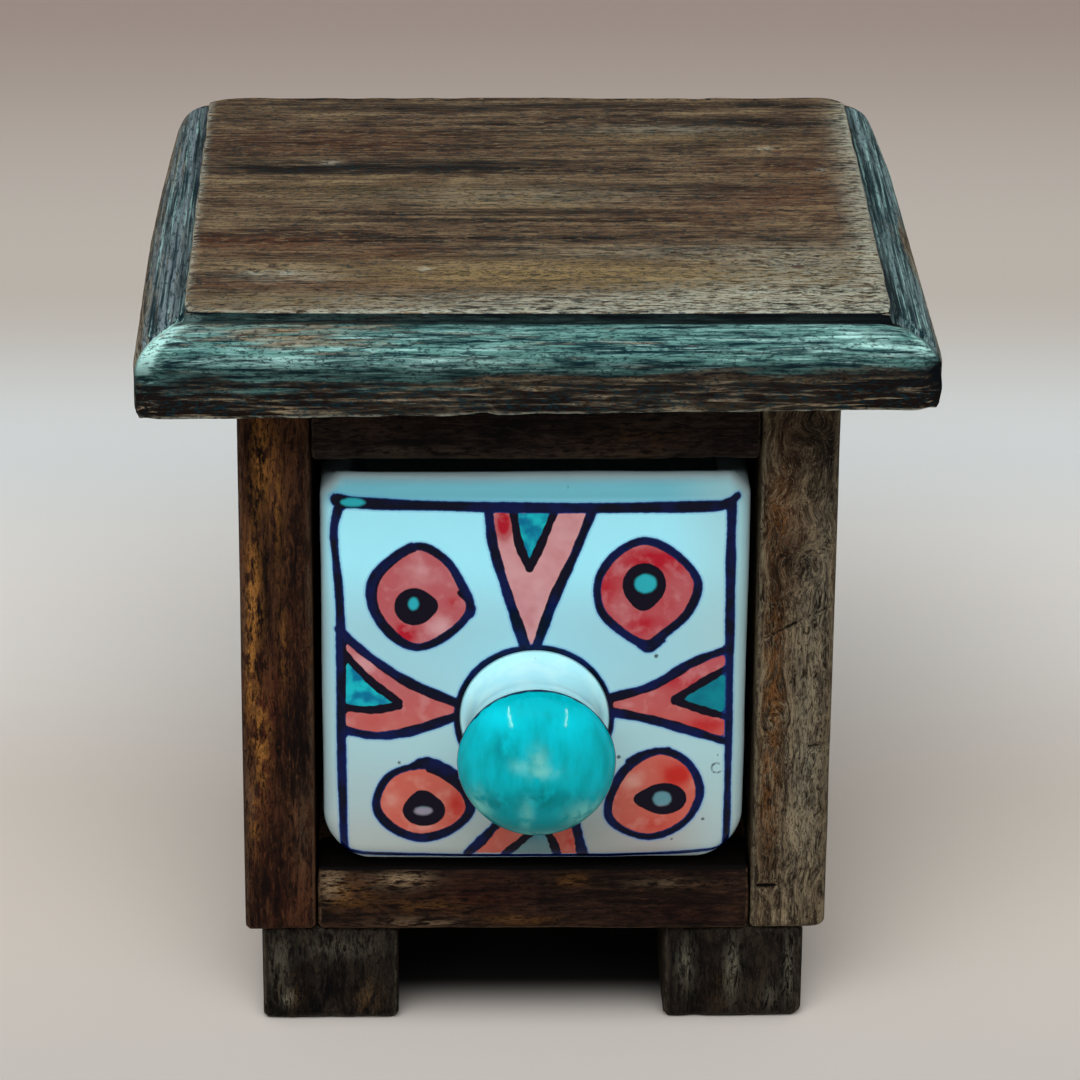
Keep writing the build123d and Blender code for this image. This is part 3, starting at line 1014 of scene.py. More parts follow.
def tray_profile():
    """Each ring's half width, front, back, corner radius, height and crown, from below round to the floor."""
    bottom, top = tray_low[2], tray_high[2]
    front, back = tray_low[1], tray_high[1]
    inner_front, inner_back = front + front_crown + tray_wall, back - tray_wall
    inner_half = half_width - tray_wall
    middle, inner_middle = (front + back) / 2, (inner_front + inner_back) / 2
    floor_top = bottom + tray_floor
    rows = []

    def outer(inset, z):
        radius = max(tray_corner - inset, least_radius)
        rows.append((half_width - inset, front + inset, back - inset, radius, z, 1.0))

    def inner(inset, z):
        radius = max(inner_corner - inset, 1.0) if inset > 0 else inner_corner + 1.3 * inset
        rows.append((inner_half - inset, inner_front + inset, inner_back - inset, radius, z, 0.0))

    for share in np.linspace(0.04, 0.96, middle_rings):
        half, reach = (half_width - tray_foot) * share, (middle - front - tray_foot) * share
        rows.append((half, middle - reach, middle + reach, least_radius * share, bottom, share))
    for angle in np.radians(np.linspace(0, 90, foot_rings)):
        outer(tray_foot * (1 - math.sin(angle)), bottom + tray_foot * (1 - math.cos(angle)))
    for z in np.linspace(bottom + tray_foot, top - tray_rim, wall_rings)[1:]:
        outer(0.0, z)
    for angle in np.radians(np.linspace(0, 90, rim_rings))[1:]:
        outer(tray_rim * (1 - math.cos(angle)), top - tray_rim + tray_rim * math.sin(angle))
    for angle in np.radians(np.linspace(90, 0, rim_rings)):
        inner(-tray_rim * (1 - math.cos(angle)), top - tray_rim + tray_rim * math.sin(angle))
    for z in np.linspace(top - tray_rim, floor_top + inner_foot, inner_rings)[1:]:
        inner(0.0, z)
    for angle in np.radians(np.linspace(0, 90, rim_rings))[1:]:
        inner(inner_foot * (1 - math.cos(angle)), floor_top + inner_foot * (1 - math.sin(angle)))
    for share in np.linspace(0.94, 0.04, middle_rings):
        half, reach = (inner_half - inner_foot) * share, ((inner_back - inner_front) / 2 - inner_foot) * share
        rows.append((half, inner_middle - reach, inner_middle + reach, share, floor_top, 0.0))
    return np.array(rows).T[:, :, None]


# %% Faces and directions of a surface made of rings
def ring_faces(rings, count):
    """Quads between neighbouring rings of a closed surface, and fans to one last point at each end."""
    row, column = np.meshgrid(np.arange(rings - 1), np.arange(count), indexing="ij")
    following = (column + 1) % count
    here, onward = row * count, (row + 1) * count
    quads = np.stack([here + column, here + following, onward + following, onward + column], axis=-1)
    quads = quads.reshape(-1, 4)
    around = np.arange(count)
    last = (rings - 1) * count
    first_pole, last_pole = rings * count, rings * count + 1
    first_fan = np.stack([np.full(count, first_pole), (around + 1) % count, around], axis=1)
    last_fan = np.stack([np.full(count, last_pole), last + around, last + (around + 1) % count], axis=1)
    return quads.tolist() + first_fan.tolist() + last_fan.tolist()


def grid_outward(grid):
    """Outward direction at each point of a grid of rings: the cross product of the two tangents."""
    around = np.roll(grid, -1, axis=1) - np.roll(grid, 1, axis=1)
    onward = np.gradient(grid, axis=0)
    outward = np.cross(around, onward)
    return outward / np.maximum(np.linalg.norm(outward, axis=2, keepdims=True), 1e-9)


# %% [markdown]
# After casting, a hand with a wet sponge took over. It rounded the two lower front corners further than
# the mould does, and trimmed the rim, which falls away at the front corners and lies lower on the sides
# and the back. Both are worked out ring by ring, and they fade out a little way behind the front.

# %% The tray as the hand left it
sponged_across, sponged_up = 9.0, 8.0
rim_fall = 2.1
share_x, share_y, turn_x, turn_y = plan_template()
half, front, back, corner, ring_z, crown = tray_profile()
ring_x = share_x * (half - corner) + corner * turn_x
ring_y = (front + back) / 2 + share_y * ((back - front) / 2 - corner) + corner * turn_y
ring_y = ring_y + crown * front_crown * (ring_x / half_width) ** 2 * (1 - share_y) / 2
lift = ring_z - tray_low[2]


def rounded_half(across, up):
    """Half the width at each ring's height, where the lower corners are quarter ellipses, across by up."""
    return half_width - across * (1 - np.sqrt(1 - (1 - np.clip(lift / up, 0, 1)) ** 2))


sponged_share = rounded_half(sponged_across, sponged_up) / rounded_half(tray_foot, tray_foot)
behind_front = ring_y - tray_low[1]
outside = np.arange(len(ring_z))[:, None] < outer_count
# The sponge's work is full for 4 mm behind the front and gone by 16, on the outer two thirds of the width
near_front = ease(np.clip(1 - (behind_front - 4.0) / 12.0, 0, 1)) * outside
near_end = np.clip((np.abs(ring_x) / half - 0.35) / 0.65, 0, 1)
ring_x = ring_x * (1 - (1 - sponged_share) * near_end * near_front)
# The rim begins to fall 28.9 mm from the middle and 3.6 mm behind the front
towards_side = ease(np.clip((np.abs(ring_x) - 28.9) / 3.7, 0, 1))
towards_back = ease(np.clip((behind_front - 3.6) / 5.0, 0, 1))
rim_share = lift / (tray_high[2] - tray_low[2])
fallen = rim_fall * np.maximum(towards_side, towards_back) * rim_share**4
tray_grid = np.stack([ring_x, ring_y, ring_z - fallen], axis=2)
tray_out = grid_outward(tray_grid).reshape(-1, 3)
tray_points = tray_grid.reshape(-1, 3)
# A cast and fettled wall is never dead flat, and the glaze lies a little thick and thin
sag = 0.22 * hills(tray_points, 19.0, 91) + 0.1 * hills(tray_points, 6.0, 93)
tray_surface = tray_points - tray_out * sag[:, None]
tray_poles = tray_grid[[0, -1]].mean(axis=1)
print("tray", tray_grid.shape[0], "rings of", tray_grid.shape[1], "points, the first", outer_count, "outside")

# %% [markdown]
# The painting is laid out in the drawer's own millimetres. A brush stroke is a smooth line through a few
# places, with a width at its start and its end, and a washed colour is a closed outline. For each
# point of the front the distance to the nearest stroke is worked out, and to the nearest outline, below
# zero inside. The material then draws the edge of the paint sharply at distance zero, and lets it
# bleed a little.

# %% Brush strokes and washes
def smooth_line(places, closed=False, steps=10):
    """A smooth curve through the places: each span is a cubic whose slopes follow its neighbours."""
    places = np.asarray(places, float)
    if closed:
        before, starts = np.roll(places, 1, axis=0), places
        ends, after = np.roll(places, -1, axis=0), np.roll(places, -2, axis=0)
    else:
        before, starts = np.concatenate([2 * places[:1] - places[1:2], places[:-2]]), places[:-1]
        ends, after = places[1:], np.concatenate([places[2:], 2 * places[-1:] - places[-2:-1]])
    t = np.linspace(0, 1, steps, endpoint=False)[None, :, None]
    p0, p1, p2, p3 = (part[:, None] for part in (before, starts, ends, after))
    curve = p1 + 0.5 * t * (p2 - p0 + t * (2 * p0 - 5 * p1 + 4 * p2 - p3 + t * (3 * (p1 - p2) + p3 - p0)))
    curve = curve.reshape(-1, 2)
    return curve if closed else np.concatenate([curve, places[-1:]])


def curve_gap(points, curve, closed):
    """Distance from each point to the nearest straight piece of a curve, and how far along that is."""
    begins = curve if closed else curve[:-1]
    run = (np.roll(curve, -1, axis=0) if closed else curve[1:]) - begins
    offset = points[:, None] - begins[None]
    share = np.clip((offset * run).sum(axis=2) / np.maximum((run * run).sum(axis=1), 1e-9), 0, 1)
    gap = np.linalg.norm(offset - share[..., None] * run[None], axis=2)
    nearest = gap.argmin(axis=1)
    rows = np.arange(len(points))
    return gap[rows, nearest], (nearest + share[rows, nearest]) / len(begins)


def stroke(points, places, start_width, end_width, closed=False):
    """Distance to a brush stroke whose width goes evenly from start to end, with a slight tremble."""
    gap, share = curve_gap(points, smooth_line(places, closed), closed)
    width = start_width + (end_width - start_width) * share
    width = width * (1 + 0.09 * np.sin(9 * share + places[0][0]) + 0.06 * np.sin(31 * share))
    return gap - width / 2


def wash(points, outline):
    """Distance to an outline, below zero inside it.

    A point is inside where a line from it to the right meets the outline an odd number of times.
    """
    outline = np.asarray(outline, float)
    following = np.roll(outline, -1, axis=0)
    x, z = points[:, :1], points[:, 1:]
    crosses = (outline[:, 1] > z) != (following[:, 1] > z)
    drop = np.where(following[:, 1] == outline[:, 1], 1.0, following[:, 1] - outline[:, 1])
    meets = outline[:, 0] + (z - outline[:, 1]) * (following[:, 0] - outline[:, 0]) / drop
    inside = (crosses & (x < meets)).sum(axis=1) % 2 == 1
    gap = curve_gap(points, outline, closed=True)[0]
    return np.where(inside, -gap, gap)


def drop_shape(centre, reach_x, reach_z, points_to=0, sharpness=0):
    """A round dot drawn out to one side: an ellipse whose radius grows near one direction."""
    angle = np.radians(np.arange(0, 360, 8))
    lean = np.clip(np.cos(angle - math.radians(points_to)), 0, 1) ** 8
    grow = 1 + sharpness * lean
    x, z = centre[0] + reach_x * grow * np.cos(angle), centre[1] + reach_z * grow * np.sin(angle)
    return np.stack([x, z], axis=1)


# %% [markdown]
# The pattern is a common one: a border, a ring round the knob with four pairs of petals, and a disc in
# each corner. The places below are where the brush touched down, in X and Z.

# %% Where the border and the ring go
# Each stroke has its places, and its width at the start and at the end
border = [
    (
        [(-30.0, 90.5), (-27.0, 90.2), (-17.5, 89.8), (3.6, 89.4), (24.7, 89.5), (28.8, 89.9), (30.4, 91.0)],
        2.1, 1.5,
    ),
    (
        [(-29.6, 90.0), (-30.5, 86.0), (-30.4, 82.0), (-29.8, 75.0)]
        + [(-29.6, 66.0), (-29.7, 48.0), (-29.4, 30.6)],
        1.3, 1.5,
    ),
    ([(29.6, 90.2), (29.6, 80.8), (29.8, 66.0), (30.0, 44.0), (30.0, 31.0)], 1.65, 1.2),
    ([(-29.6, 31.0), (-22.0, 30.3), (1.0, 29.9), (17.0, 30.0), (30.0, 31.2)], 0.9, 0.8),
]
# Where the brush was lifted, a disc's line ends in a short spike
spikes = [
    ([(-18.8, 45.9), (-16.2, 46.9), (-12.2, 44.6)], 1.3, 1.6),
    ([(14.8, 67.4), (17.2, 65.6), (19.6, 67.2)], 0.8, 0.8),
    ([(-11.4, 75.4), (-9.4, 72.6), (-11.4, 70.2)], 0.9, 0.9),
    ([(14.4, 46.8), (16.4, 47.9), (20.6, 48.6)], 0.7, 1.2),
]
# The knob's radius where it is luted on, and the ring's, which goes round it
base_radius = 11.2
ring_radius = base_radius + 0.4
ring = [
    (ring_radius * math.cos(angle), knob_centre[2] + ring_radius * math.sin(angle))
    for angle in np.radians(np.arange(-30, 330, 24))
]

# %% Where the discs go
# Each disc has its line's widths, how far it is drawn in sideways, how thick its red is, and its outline
discs = {
    "top_left": (
        (1.2, 1.7), 0.94, 0.38,
        [(-18.4, 83.0), (-13.6, 81.0), (-10.8, 76.7), (-9.5, 72.4), (-13.2, 68.2)]
        + [(-18.1, 66.2), (-22.4, 68.6), (-25.2, 73.4), (-24.4, 78.4)],
    ),
    "top_right": (
        (1.4, 1.35), 0.955, 0.62,
        [(16.6, 83.9), (21.6, 81.5), (25.0, 77.0), (23.6, 72.0), (20.1, 68.6)]
        + [(17.0, 66.6), (12.7, 69.0), (9.6, 72.5), (9.2, 77.4), (12.0, 81.8)],
    ),
    "bottom_left": (
        (1.75, 1.2), 0.96, 0.45,
        [(-16.6, 46.0), (-11.6, 43.0), (-9.5, 38.8), (-12.4, 35.2)]
        + [(-17.6, 33.6), (-22.4, 35.6), (-24.7, 39.4), (-22.4, 44.4)],
    ),
    "bottom_right": (
        (1.2, 1.35), 0.93, 0.5,
        [(19.0, 48.4), (24.0, 46.4), (26.2, 41.2), (23.6, 36.0)]
        + [(17.9, 33.6), (12.4, 35.6), (10.9, 39.0), (13.4, 45.0)],
    ),
}
# Each dot has its centre, its reach across and up, which way it is drawn out, in degrees, and how far
dots = [
    ((-18.4, 73.0), 3.0, 3.1, 4, 0.22),
    ((16.5, 76.6), 3.3, 3.6, 268, 0.22),
    ((-17.0, 38.4), 3.3, 2.7, 95, 0.3),
    ((20.1, 40.2), 3.5, 2.7, 180, 0.35),
]
# A lighter dab in each dot, and at the start of the border one pale oval, a painted highlight
dab_and_glint_places = [
    ((-18.5, 73.5), 0.85, 1.15),
    ((16.7, 76.8), 1.75, 1.65),
    ((-17.1, 38.3), 1.5, 0.8),
    ((19.8, 40.2), 1.5, 1.35),
    ((-27.6, 90.25), 2.0, 0.75),
]
# Where the red is thicker or thinner than around it: x, z, reach across, reach up, how much
wash_patches = [
    (-19.6, 68.6, 1.6, 2.0, 0.7),
    (-12.3, 73.6, 1.6, 1.5, 0.4),
    (-23.0, 75.0, 1.5, 3.0, 0.15),
    (-17.5, 79.0, 3.0, 1.6, -0.15),
    (-14.5, 69.8, 2.2, 1.8, -0.3),
    (18.5, 80.6, 4.0, 1.5, 0.45),
    (10.6, 76.0, 1.5, 2.6, 0.2),
    (16.4, 70.2, 2.6, 1.6, 0.3),
    (22.6, 74.0, 1.6, 3.0, -0.1),
    (13.4, 72.6, 1.6, 1.6, -0.25),
    (-12.0, 39.0, 1.6, 3.0, 0.35),
    (-22.0, 40.5, 2.0, 3.0, -0.15),
    (-17.0, 35.4, 3.0, 1.0, -0.2),
    (22.0, 44.0, 2.4, 2.0, 0.5),
    (15.0, 43.5, 2.4, 2.4, -0.35),
    (18.0, 35.6, 4.0, 1.4, 0.2),
    (-4.9, 87.2, 1.0, 2.4, 1.3),
    (3.4, 82.0, 1.6, 1.6, 0.12),
    (-0.6, 70.5, 1.2, 2.6, 0.1),
    (-26.0, 63.5, 2.6, 1.6, -0.2),
    (-17.5, 56.6, 3.0, 1.6, 0.15),
    (-25.0, 53.6, 2.0, 1.4, 0.2),
    (22.0, 60.4, 3.0, 1.8, 0.25),
    (14.0, 56.4, 2.0, 1.0, -0.3),
    (26.0, 52.6, 3.0, 1.4, 0.3),
    (5.6, 32.6, 0.9, 2.4, 0.45),
]
# Iron specks, pinholes and one burst bubble: x, z and radius
specks = [
    (18.5, 64.6, 0.34),
    (4.8, 92.7, 0.26),
    (-20.8, 46.6, 0.3),
    (13.0, 47.5, 0.34),
    (26.2, 36.6, 0.3),
    (21.4, 33.2, 0.22),
    (28.3, 47.6, 0.2),
]
bubble = (28.2, 45.4, 0.85)
bubble_line = 0.16

# %% Where the petals go
# Each pair has the depth of its red, an outer V, and an inner V: red lies between the two, teal within
petals = {
    "top": (
        0.1,
        [(-7.2, 89.2), (-6.4, 83.0), (-4.2, 75.0), (-1.6, 66.6)],
        [(8.4, 88.6), (5.8, 81.5), (3.0, 74.8), (0.3, 66.6)],
        [(-3.4, 88.6), (-2.5, 83.4), (-0.9, 79.4)],
        [(2.7, 88.6), (0.8, 83.4), (-0.9, 79.4)],
    ),
    "left": (
        0.35,
        [(-29.9, 69.0), (-25.2, 64.6), (-19.2, 60.2), (-11.6, 56.6)],
        [(-29.6, 52.2), (-24.4, 51.2), (-19.0, 52.0), (-11.8, 54.6)],
        [(-29.2, 65.2), (-25.0, 60.4), (-20.8, 56.9)],
        [(-29.4, 56.0), (-25.0, 55.6), (-20.8, 56.3)],
    ),
    "right": (
        0.55,
        [(29.3, 65.6), (24.0, 63.4), (18.0, 59.6), (10.8, 57.4)],
        [(29.3, 50.0), (24.0, 51.8), (18.0, 53.8), (11.0, 55.4)],
        [(29.4, 62.4), (25.4, 59.9), (21.6, 57.3)],
        [(29.4, 54.2), (25.6, 55.4), (21.6, 57.0)],
    ),
    "bottom": (
        0.4,
        [(-4.6, 37.4), (-7.2, 34.2), (-10.2, 30.8)],
        [(5.9, 38.0), (6.9, 34.0), (7.6, 30.4)],
        [(0.6, 35.6), (-2.0, 33.0), (-4.4, 30.6)],
        [(1.6, 35.6), (2.9, 33.0), (3.7, 30.4)],
    ),
}

# %% Measure the front against the painting
# The painting goes over the rim and ends two rings inside it
ring_index = np.arange(len(tray_points)) // tray_grid.shape[1]
dipped = ring_index < outer_count + 2
seen_front = (tray_out[:, 1] < -0.1) & (tray_points[:, 1] < tray_low[1] + 4.5) & dipped
face = tray_points[seen_front][:, [0, 2]]
cobalt = [stroke(face, places, start_width, end_width) for places, start_width, end_width in border + spikes]
cobalt.append(stroke(face, ring, 1.3, 1.9, closed=True))
cobalt += [wash(face, drop_shape(*dot)) for dot in dots]
red, teal, depth = [], [], np.full(len(face), 0.5)
for widths, drawn_in, thickness, outline in discs.values():
    middle = np.mean(outline, axis=0)
    outline = middle + (np.array(outline) - middle) * (drawn_in, 1.0)
    cobalt.append(stroke(face, outline, *widths, closed=True))
    red.append(wash(face, smooth_line(outline, closed=True, steps=8)))
    depth = np.where(red[-1] < 1.0, thickness, depth)
for thickness, outer_a, outer_b, inner_a, inner_b in petals.values():
    cobalt += [stroke(face, places, 1.35, 1.7) for places in (outer_a, outer_b)]
    cobalt += [stroke(face, places, 1.2, 1.4) for places in (inner_a, inner_b)]
    red.append(wash(face, outer_a + outer_b[::-1]))
    teal.append(wash(face, inner_a + inner_b[::-1]))
    depth = np.where(red[-1] < 1.0, thickness, depth)
for spot in wash_patches:
    depth = depth + soft_spot(face[:, 0], face[:, 1], spot)
dab_and_glint = [wash(face, drop_shape(*place)) for place in dab_and_glint_places]
speck = [np.hypot(face[:, 0] - x, face[:, 1] - z) - radius for x, z, radius in specks]
from_bubble = np.hypot(face[:, 0] - bubble[0], face[:, 1] - bubble[1])
speck.append(np.abs(from_bubble - bubble[2]) - bubble_line)

# %% What the points of the tray carry
nearest = {"cobalt": cobalt, "red": red, "teal": teal, "dab_and_glint": dab_and_glint, "speck": speck}
tray_values = {"front": np.append(np.clip(-1.6 * tray_out[:, 1] - 0.3, 0, 1) * dipped, [0.0, 0.0])}
for name, gaps in nearest.items():
    tray_values[name] = np.full(len(tray_points) + 2, far_off)
    tray_values[name][:-2][seen_front] = np.minimum(far_off, np.minimum.reduce(gaps))
tray_values["depth"] = np.full(len(tray_points) + 2, far_off)
tray_values["depth"][:-2][seen_front] = depth
cobalt_share = (tray_values["cobalt"][:-2][seen_front] < 0).mean()
print("painted points", len(face), "cobalt share", round(float(cobalt_share), 3))

# %% [markdown]
# The glaze is glass over a white slip, dipped and fired on cast stoneware: smooth, wet-looking, with a few
# iron specks and pinholes. On the front its colour carries painted light: greyer near the foot as a
# painted reflection of the floor, brighter and bluer upwards, and darker just under the rim as painted
# shade. Cobalt under the glaze goes from near black where the brush was full to clear blue where it
# bleeds. The red is an iron wash, streaky where strokes overlap, and the teal is copper.

# %% The glaze under the painting
# Each noise of the glaze: features to the millimetre, and detail
glaze_noises = {
    "wander": (1.1, 4.0),
    "streaks": (0.4, 3.0),
    "depths": (0.3, 2.0),
    "loads": (0.22, 2.0),
    "film": (0.45, 3.0),
}
# How many cells of its own each noise is moved by, so that no two follow the same hills
noise_apart = 40
# How far each painted edge wanders, in millimetres, so that none is ruled
edge_wander = {"red": 0.35, "teal": 0.3, "cobalt": 0.22, "dab_and_glint": 0.3, "speck": 0.2}


def glaze_with_painted_light(tree, rise, across):
    """Plain cold white, and on the front a coat whose colour carries painted light.

    It is greyer near the foot and warm grey low on the right, as a painted reflection of the floor, brighter
    and bluer with height, as painted light from above, blue-grey towards the right edge, and darker just
    under the rim, as painted shade.
    """
    # Painted light by height: greyer near the foot as a painted reflection of the floor, brighter and bluer
    # upwards as painted light from above; the last band is painted shade just under the rim
    glaze = "#A6B0AC"
    for low, high, colour in (
        (33, 41, "#A4BCBE"),
        (41, 50, "#A5CACE"),
        (50, 66, "#A0D2DC"),
        (68, 82, "#A6F0FF"),
        (88.5, 91.5, "#70BCCC"),
    ):
        glaze = lay(tree, glaze, colour, rise, low * MM, high * MM)
    # Painted reflection of the floor: warm grey low on the right; then blue-grey towards the right edge
    right = add(tree, "MapRange", {"Value": across, "From Min": 0.0, "From Max": 20 * MM})
    glaze = lay(tree, glaze, "#A39C97", rise, 46 * MM, 32 * MM, 0.8, right)
    glaze = lay(tree, glaze, "#A7CBCC", across, 18 * MM, 31 * MM, 0.6)
    front = add(tree, "Attribute", attribute_name="front").outputs["Fac"]
    return add(tree, "Mix", {"Factor": front, "A": "#B8CFD2", "B": glaze})


def iron_wash(tree, rise, pattern):
    """Red, thin and pink to thick and dark by its depth, and warmer lower down."""
    lower = add(tree, "MapRange", {"Value": rise, "From Min": 65 * MM, "From Max": 42 * MM})
    pink, coral, thick = (
        add(tree, "Mix", {"Factor": lower, "A": above, "B": below})
        for above, below in (("#D29A9C", "#D0988A"), ("#B65A5E", "#C05E50"), ("#AE1628", "#B82820"))
    )
    depth = add(tree, "Attribute", attribute_name="depth").outputs["Fac"]
    depth = add(tree, "Math", {0: pattern["depths"], 1: 0.4, 2: depth}, operation="MULTIPLY_ADD")
    red = lay(tree, pink, coral, depth, 0.2, 0.62)
    red = lay(tree, red, thick, depth, 0.65, 1.15)
    return lay(tree, red, pink, pattern["streaks"], 0.5, 0.7, 0.3)


# %% The painting on the glaze
def painted_glaze():
    """White glaze with cobalt lines and red and teal washes, read from the distances on the points."""
    material, tree, shader = start_material(
        "gloss_glaze_on_cast_stoneware", Roughness=0.08, IOR=1.52, Specular_IOR_Level=0.13
    )
    place = add(tree, "TexCoord").outputs["Object"]
    pattern = {}
    for part, (per_mm, detail) in glaze_noises.items():
        offset = [noise_apart * per_mm, 0.0, 0.0]
        moved = add(tree, "Mapping", {"Vector": place, "Location": offset, "Scale": [1 / MM] * 3})
        pattern[part] = add(tree, "TexNoise", {"Vector": moved, "Scale": per_mm, "Detail": detail})
    gap = {}
    for part, wander in edge_wander.items():
        carried = add(tree, "Attribute", attribute_name=part).outputs["Fac"]
        centred = add(tree, "Math", {0: carried, 1: 0.5 * wander}, operation="SUBTRACT")
        gap[part] = add(tree, "Math", {0: pattern["wander"], 1: wander, 2: centred}, operation="MULTIPLY_ADD")
    parts = add(tree, "SeparateXYZ", {0: place})
    across, rise = parts.outputs["X"], parts.outputs["Z"]
    glaze = glaze_with_painted_light(tree, rise, across)
    red = iron_wash(tree, rise, pattern)
    teal = lay(tree, "#006E94", "#14B8C2", pattern["streaks"], 0.35, 0.65)
    teal = lay(tree, teal, "#026C7A", across, 6 * MM, 20 * MM, 0.8)
    teal = lay(tree, teal, "#6E8E92", rise, 36 * MM, 32 * MM)
    ink = lay(tree, "#02061C", "#041040", pattern["loads"], 0.42, 0.62)
    ink = lay(tree, ink, "#0C3278", gap["cobalt"], -0.26, 0.0)
    ink = lay(tree, ink, "#0A0518", gap["red"], -0.3, -0.8)
    dab_and_glint = lay(tree, "#5E8C96", "#8E8896", rise, 39.5 * MM, 38.5 * MM)
    dab_and_glint = lay(tree, dab_and_glint, "#2AA9B4", rise, 46 * MM, 66 * MM)

    # The coats in the order in which they were brushed on
    base = lay(tree, glaze, red, gap["red"], 0.15, -0.1)
    base = lay(tree, base, teal, gap["teal"], 0.1, -0.1)
    clear = add(tree, "MapRange", {"Value": gap["red"], "From Min": -0.1, "From Max": 0.4})
    base = lay(tree, base, "#3C86C4", gap["cobalt"], 0.5, 0.0, 0.4, clear)
    base = lay(tree, base, ink, gap["cobalt"], 0.1, -0.06)
    # Lighter dabs in the dots, and the painted highlight at the start of the border
    base = lay(tree, base, dab_and_glint, gap["dab_and_glint"], 0.2, -0.35)
    base = lay(tree, base, "#2E343A", gap["speck"], 0.1, -0.1, 0.85)
    tree.links.new(base.outputs["Result"], shader.inputs["Base Color"])
    film = add(tree, "Bump", {"Height": pattern["film"], "Strength": 0.12, "Distance": 0.3 * MM})
    tree.links.new(film.outputs[0], shader.inputs["Normal"])
    return material


make_piece(
    "glazed_drawer_tray",
    np.concatenate([tray_surface, tray_poles]),
    ring_faces(*tray_grid.shape[:2]),
    painted_glaze(),
    "drawer",
    ["drawer_tray"],
    "drawer_glaze",
    **tray_values,
)

# %% [markdown]
# The knob was pressed by hand and luted on with slip, so it is round but not true. Its profile runs from
# the slip at its foot, in to the neck and out to a soft rim, and over the dome to the middle.

# %% The knob
knob_face_y = knob_high[1]
shoulder, dome = 14.8, 6.0
neck_radius, knob_radius = 10.3, knob_high[0]
rim_round = 0.35
slip_proud = 0.5


def knob_profile():
    """Radius and distance forward at each ring: luted foot, waisted neck, soft rim, elliptical dome."""
    neck = np.linspace(0, 1, 30)
    slip = slip_proud * np.exp(-((neck * 14) ** 2))
    drawn_in = 4 * (0.3 + base_radius - neck_radius) * neck * (1 - neck)
    waist = base_radius + (knob_radius - 0.2 - base_radius) * neck**2 - drawn_in
    turn = np.radians(np.linspace(0, 90, 34))
    foot = np.linspace(0.5, base_radius + 0.2, 8)
    radius = np.concatenate([foot, waist + slip, knob_radius * np.cos(turn)[1:-1]])
    ahead = np.concatenate([0 * foot, neck * (shoulder - rim_round), shoulder + dome * np.sin(turn)[1:-1]])
    return radius, ahead


radius, ahead = knob_profile()
turn = np.radians(np.arange(0, 360, 3))
# It is out of round by up to two hundredths, twice and three times on the way round
unround = 1 - 0.006 * (1 + np.cos(2 * turn - 0.8)) - 0.003 * (1 + np.cos(3 * turn + 1.1))
knob_grid = np.stack(
    [
        knob_centre[0] + radius[:, None] * np.cos(turn) * unround,
        np.broadcast_to(knob_face_y - ahead[:, None], (len(radius), len(turn))),
        knob_centre[2] + radius[:, None] * np.sin(turn) * unround,
    ],
    axis=2,
)
knob_out = grid_outward(knob_grid).reshape(-1, 3)
knob_points = knob_grid.reshape(-1, 3)
dome_middle = np.array([0.0, knob_low[1], knob_centre[2]])
blister = near(knob_points, dome_middle + (6.9, 3, -5.6), (0.9, 4, 0.8))
knob_relief = 0.12 * hills(knob_points, 7.0, 111) + 0.15 * blister
knob_surface = knob_points - knob_out * knob_relief[:, None]
knob_poles = np.array([[0, knob_face_y, knob_centre[2]], dome_middle + (0, 0.1, 0)])

# %% [markdown]
# On the dome the glaze has run. It is pale where it thinned over the white slip and deeper where it gathered.
# Its top is painted brighter as painted light, and its lower half darker as painted shade. The patches are
# laid out as seen from the front, from the dome's middle.

# %% Where the knob's glaze is thick and thin, and where light is painted on
dome_spots = {
    "pale": [
        (0.1, 2.6, 1.3, 2.0, 0.75),
        (-2.3, 1.8, 1.6, 1.0, 0.6),
        (1.4, 1.0, 2.2, 1.0, 0.5),
        (7.6, -7.4, 2.6, 2.2, 0.9),
        (-8.6, -6.2, 1.6, 3.0, 0.8),
        (-1.6, -6.8, 1.0, 2.6, 0.55),
        (0, -11.6, 6, 1.0, 0.6),
    ],
    "deep": [
        (-5.0, 4.6, 2.0, 2.6, 0.7),
        (0.8, -3.6, 3.6, 2.2, 0.9),
        (-6.0, -4.8, 2.4, 1.8, 0.8),
        (5.4, -4.6, 1.2, 2.4, 0.6),
    ],
    # Painted light: brighter patches at the top of the dome, where the lamps shine
    "bright": [(-5.4, 8.4, 4.0, 2.6, 0.8), (5.6, 8.2, 3.4, 2.4, 0.6)],
}
flat_x, flat_z = (knob_points - dome_middle)[:, [0, 2]].T
knob_values = {
    name: np.append(sum(soft_spot(flat_x, flat_z, spot) for spot in spots), [0.0, 0.0])
    for name, spots in dome_spots.items()
}
past_rim = np.broadcast_to((ahead - shoulder)[:, None], (len(radius), len(turn))).reshape(-1)
knob_values["past_rim"] = np.append(past_rim, [-shoulder, dome])
print("knob", len(radius), "rings of", len(turn), "points")

# %% [markdown]
# The knob wears a copper glaze, dipped and fired to a gloss. To the eye it is deep turquoise glass that
# mirrors each lamp as a sharp streak. It ends at the rim in a cobalt line, and the neck is bare white.

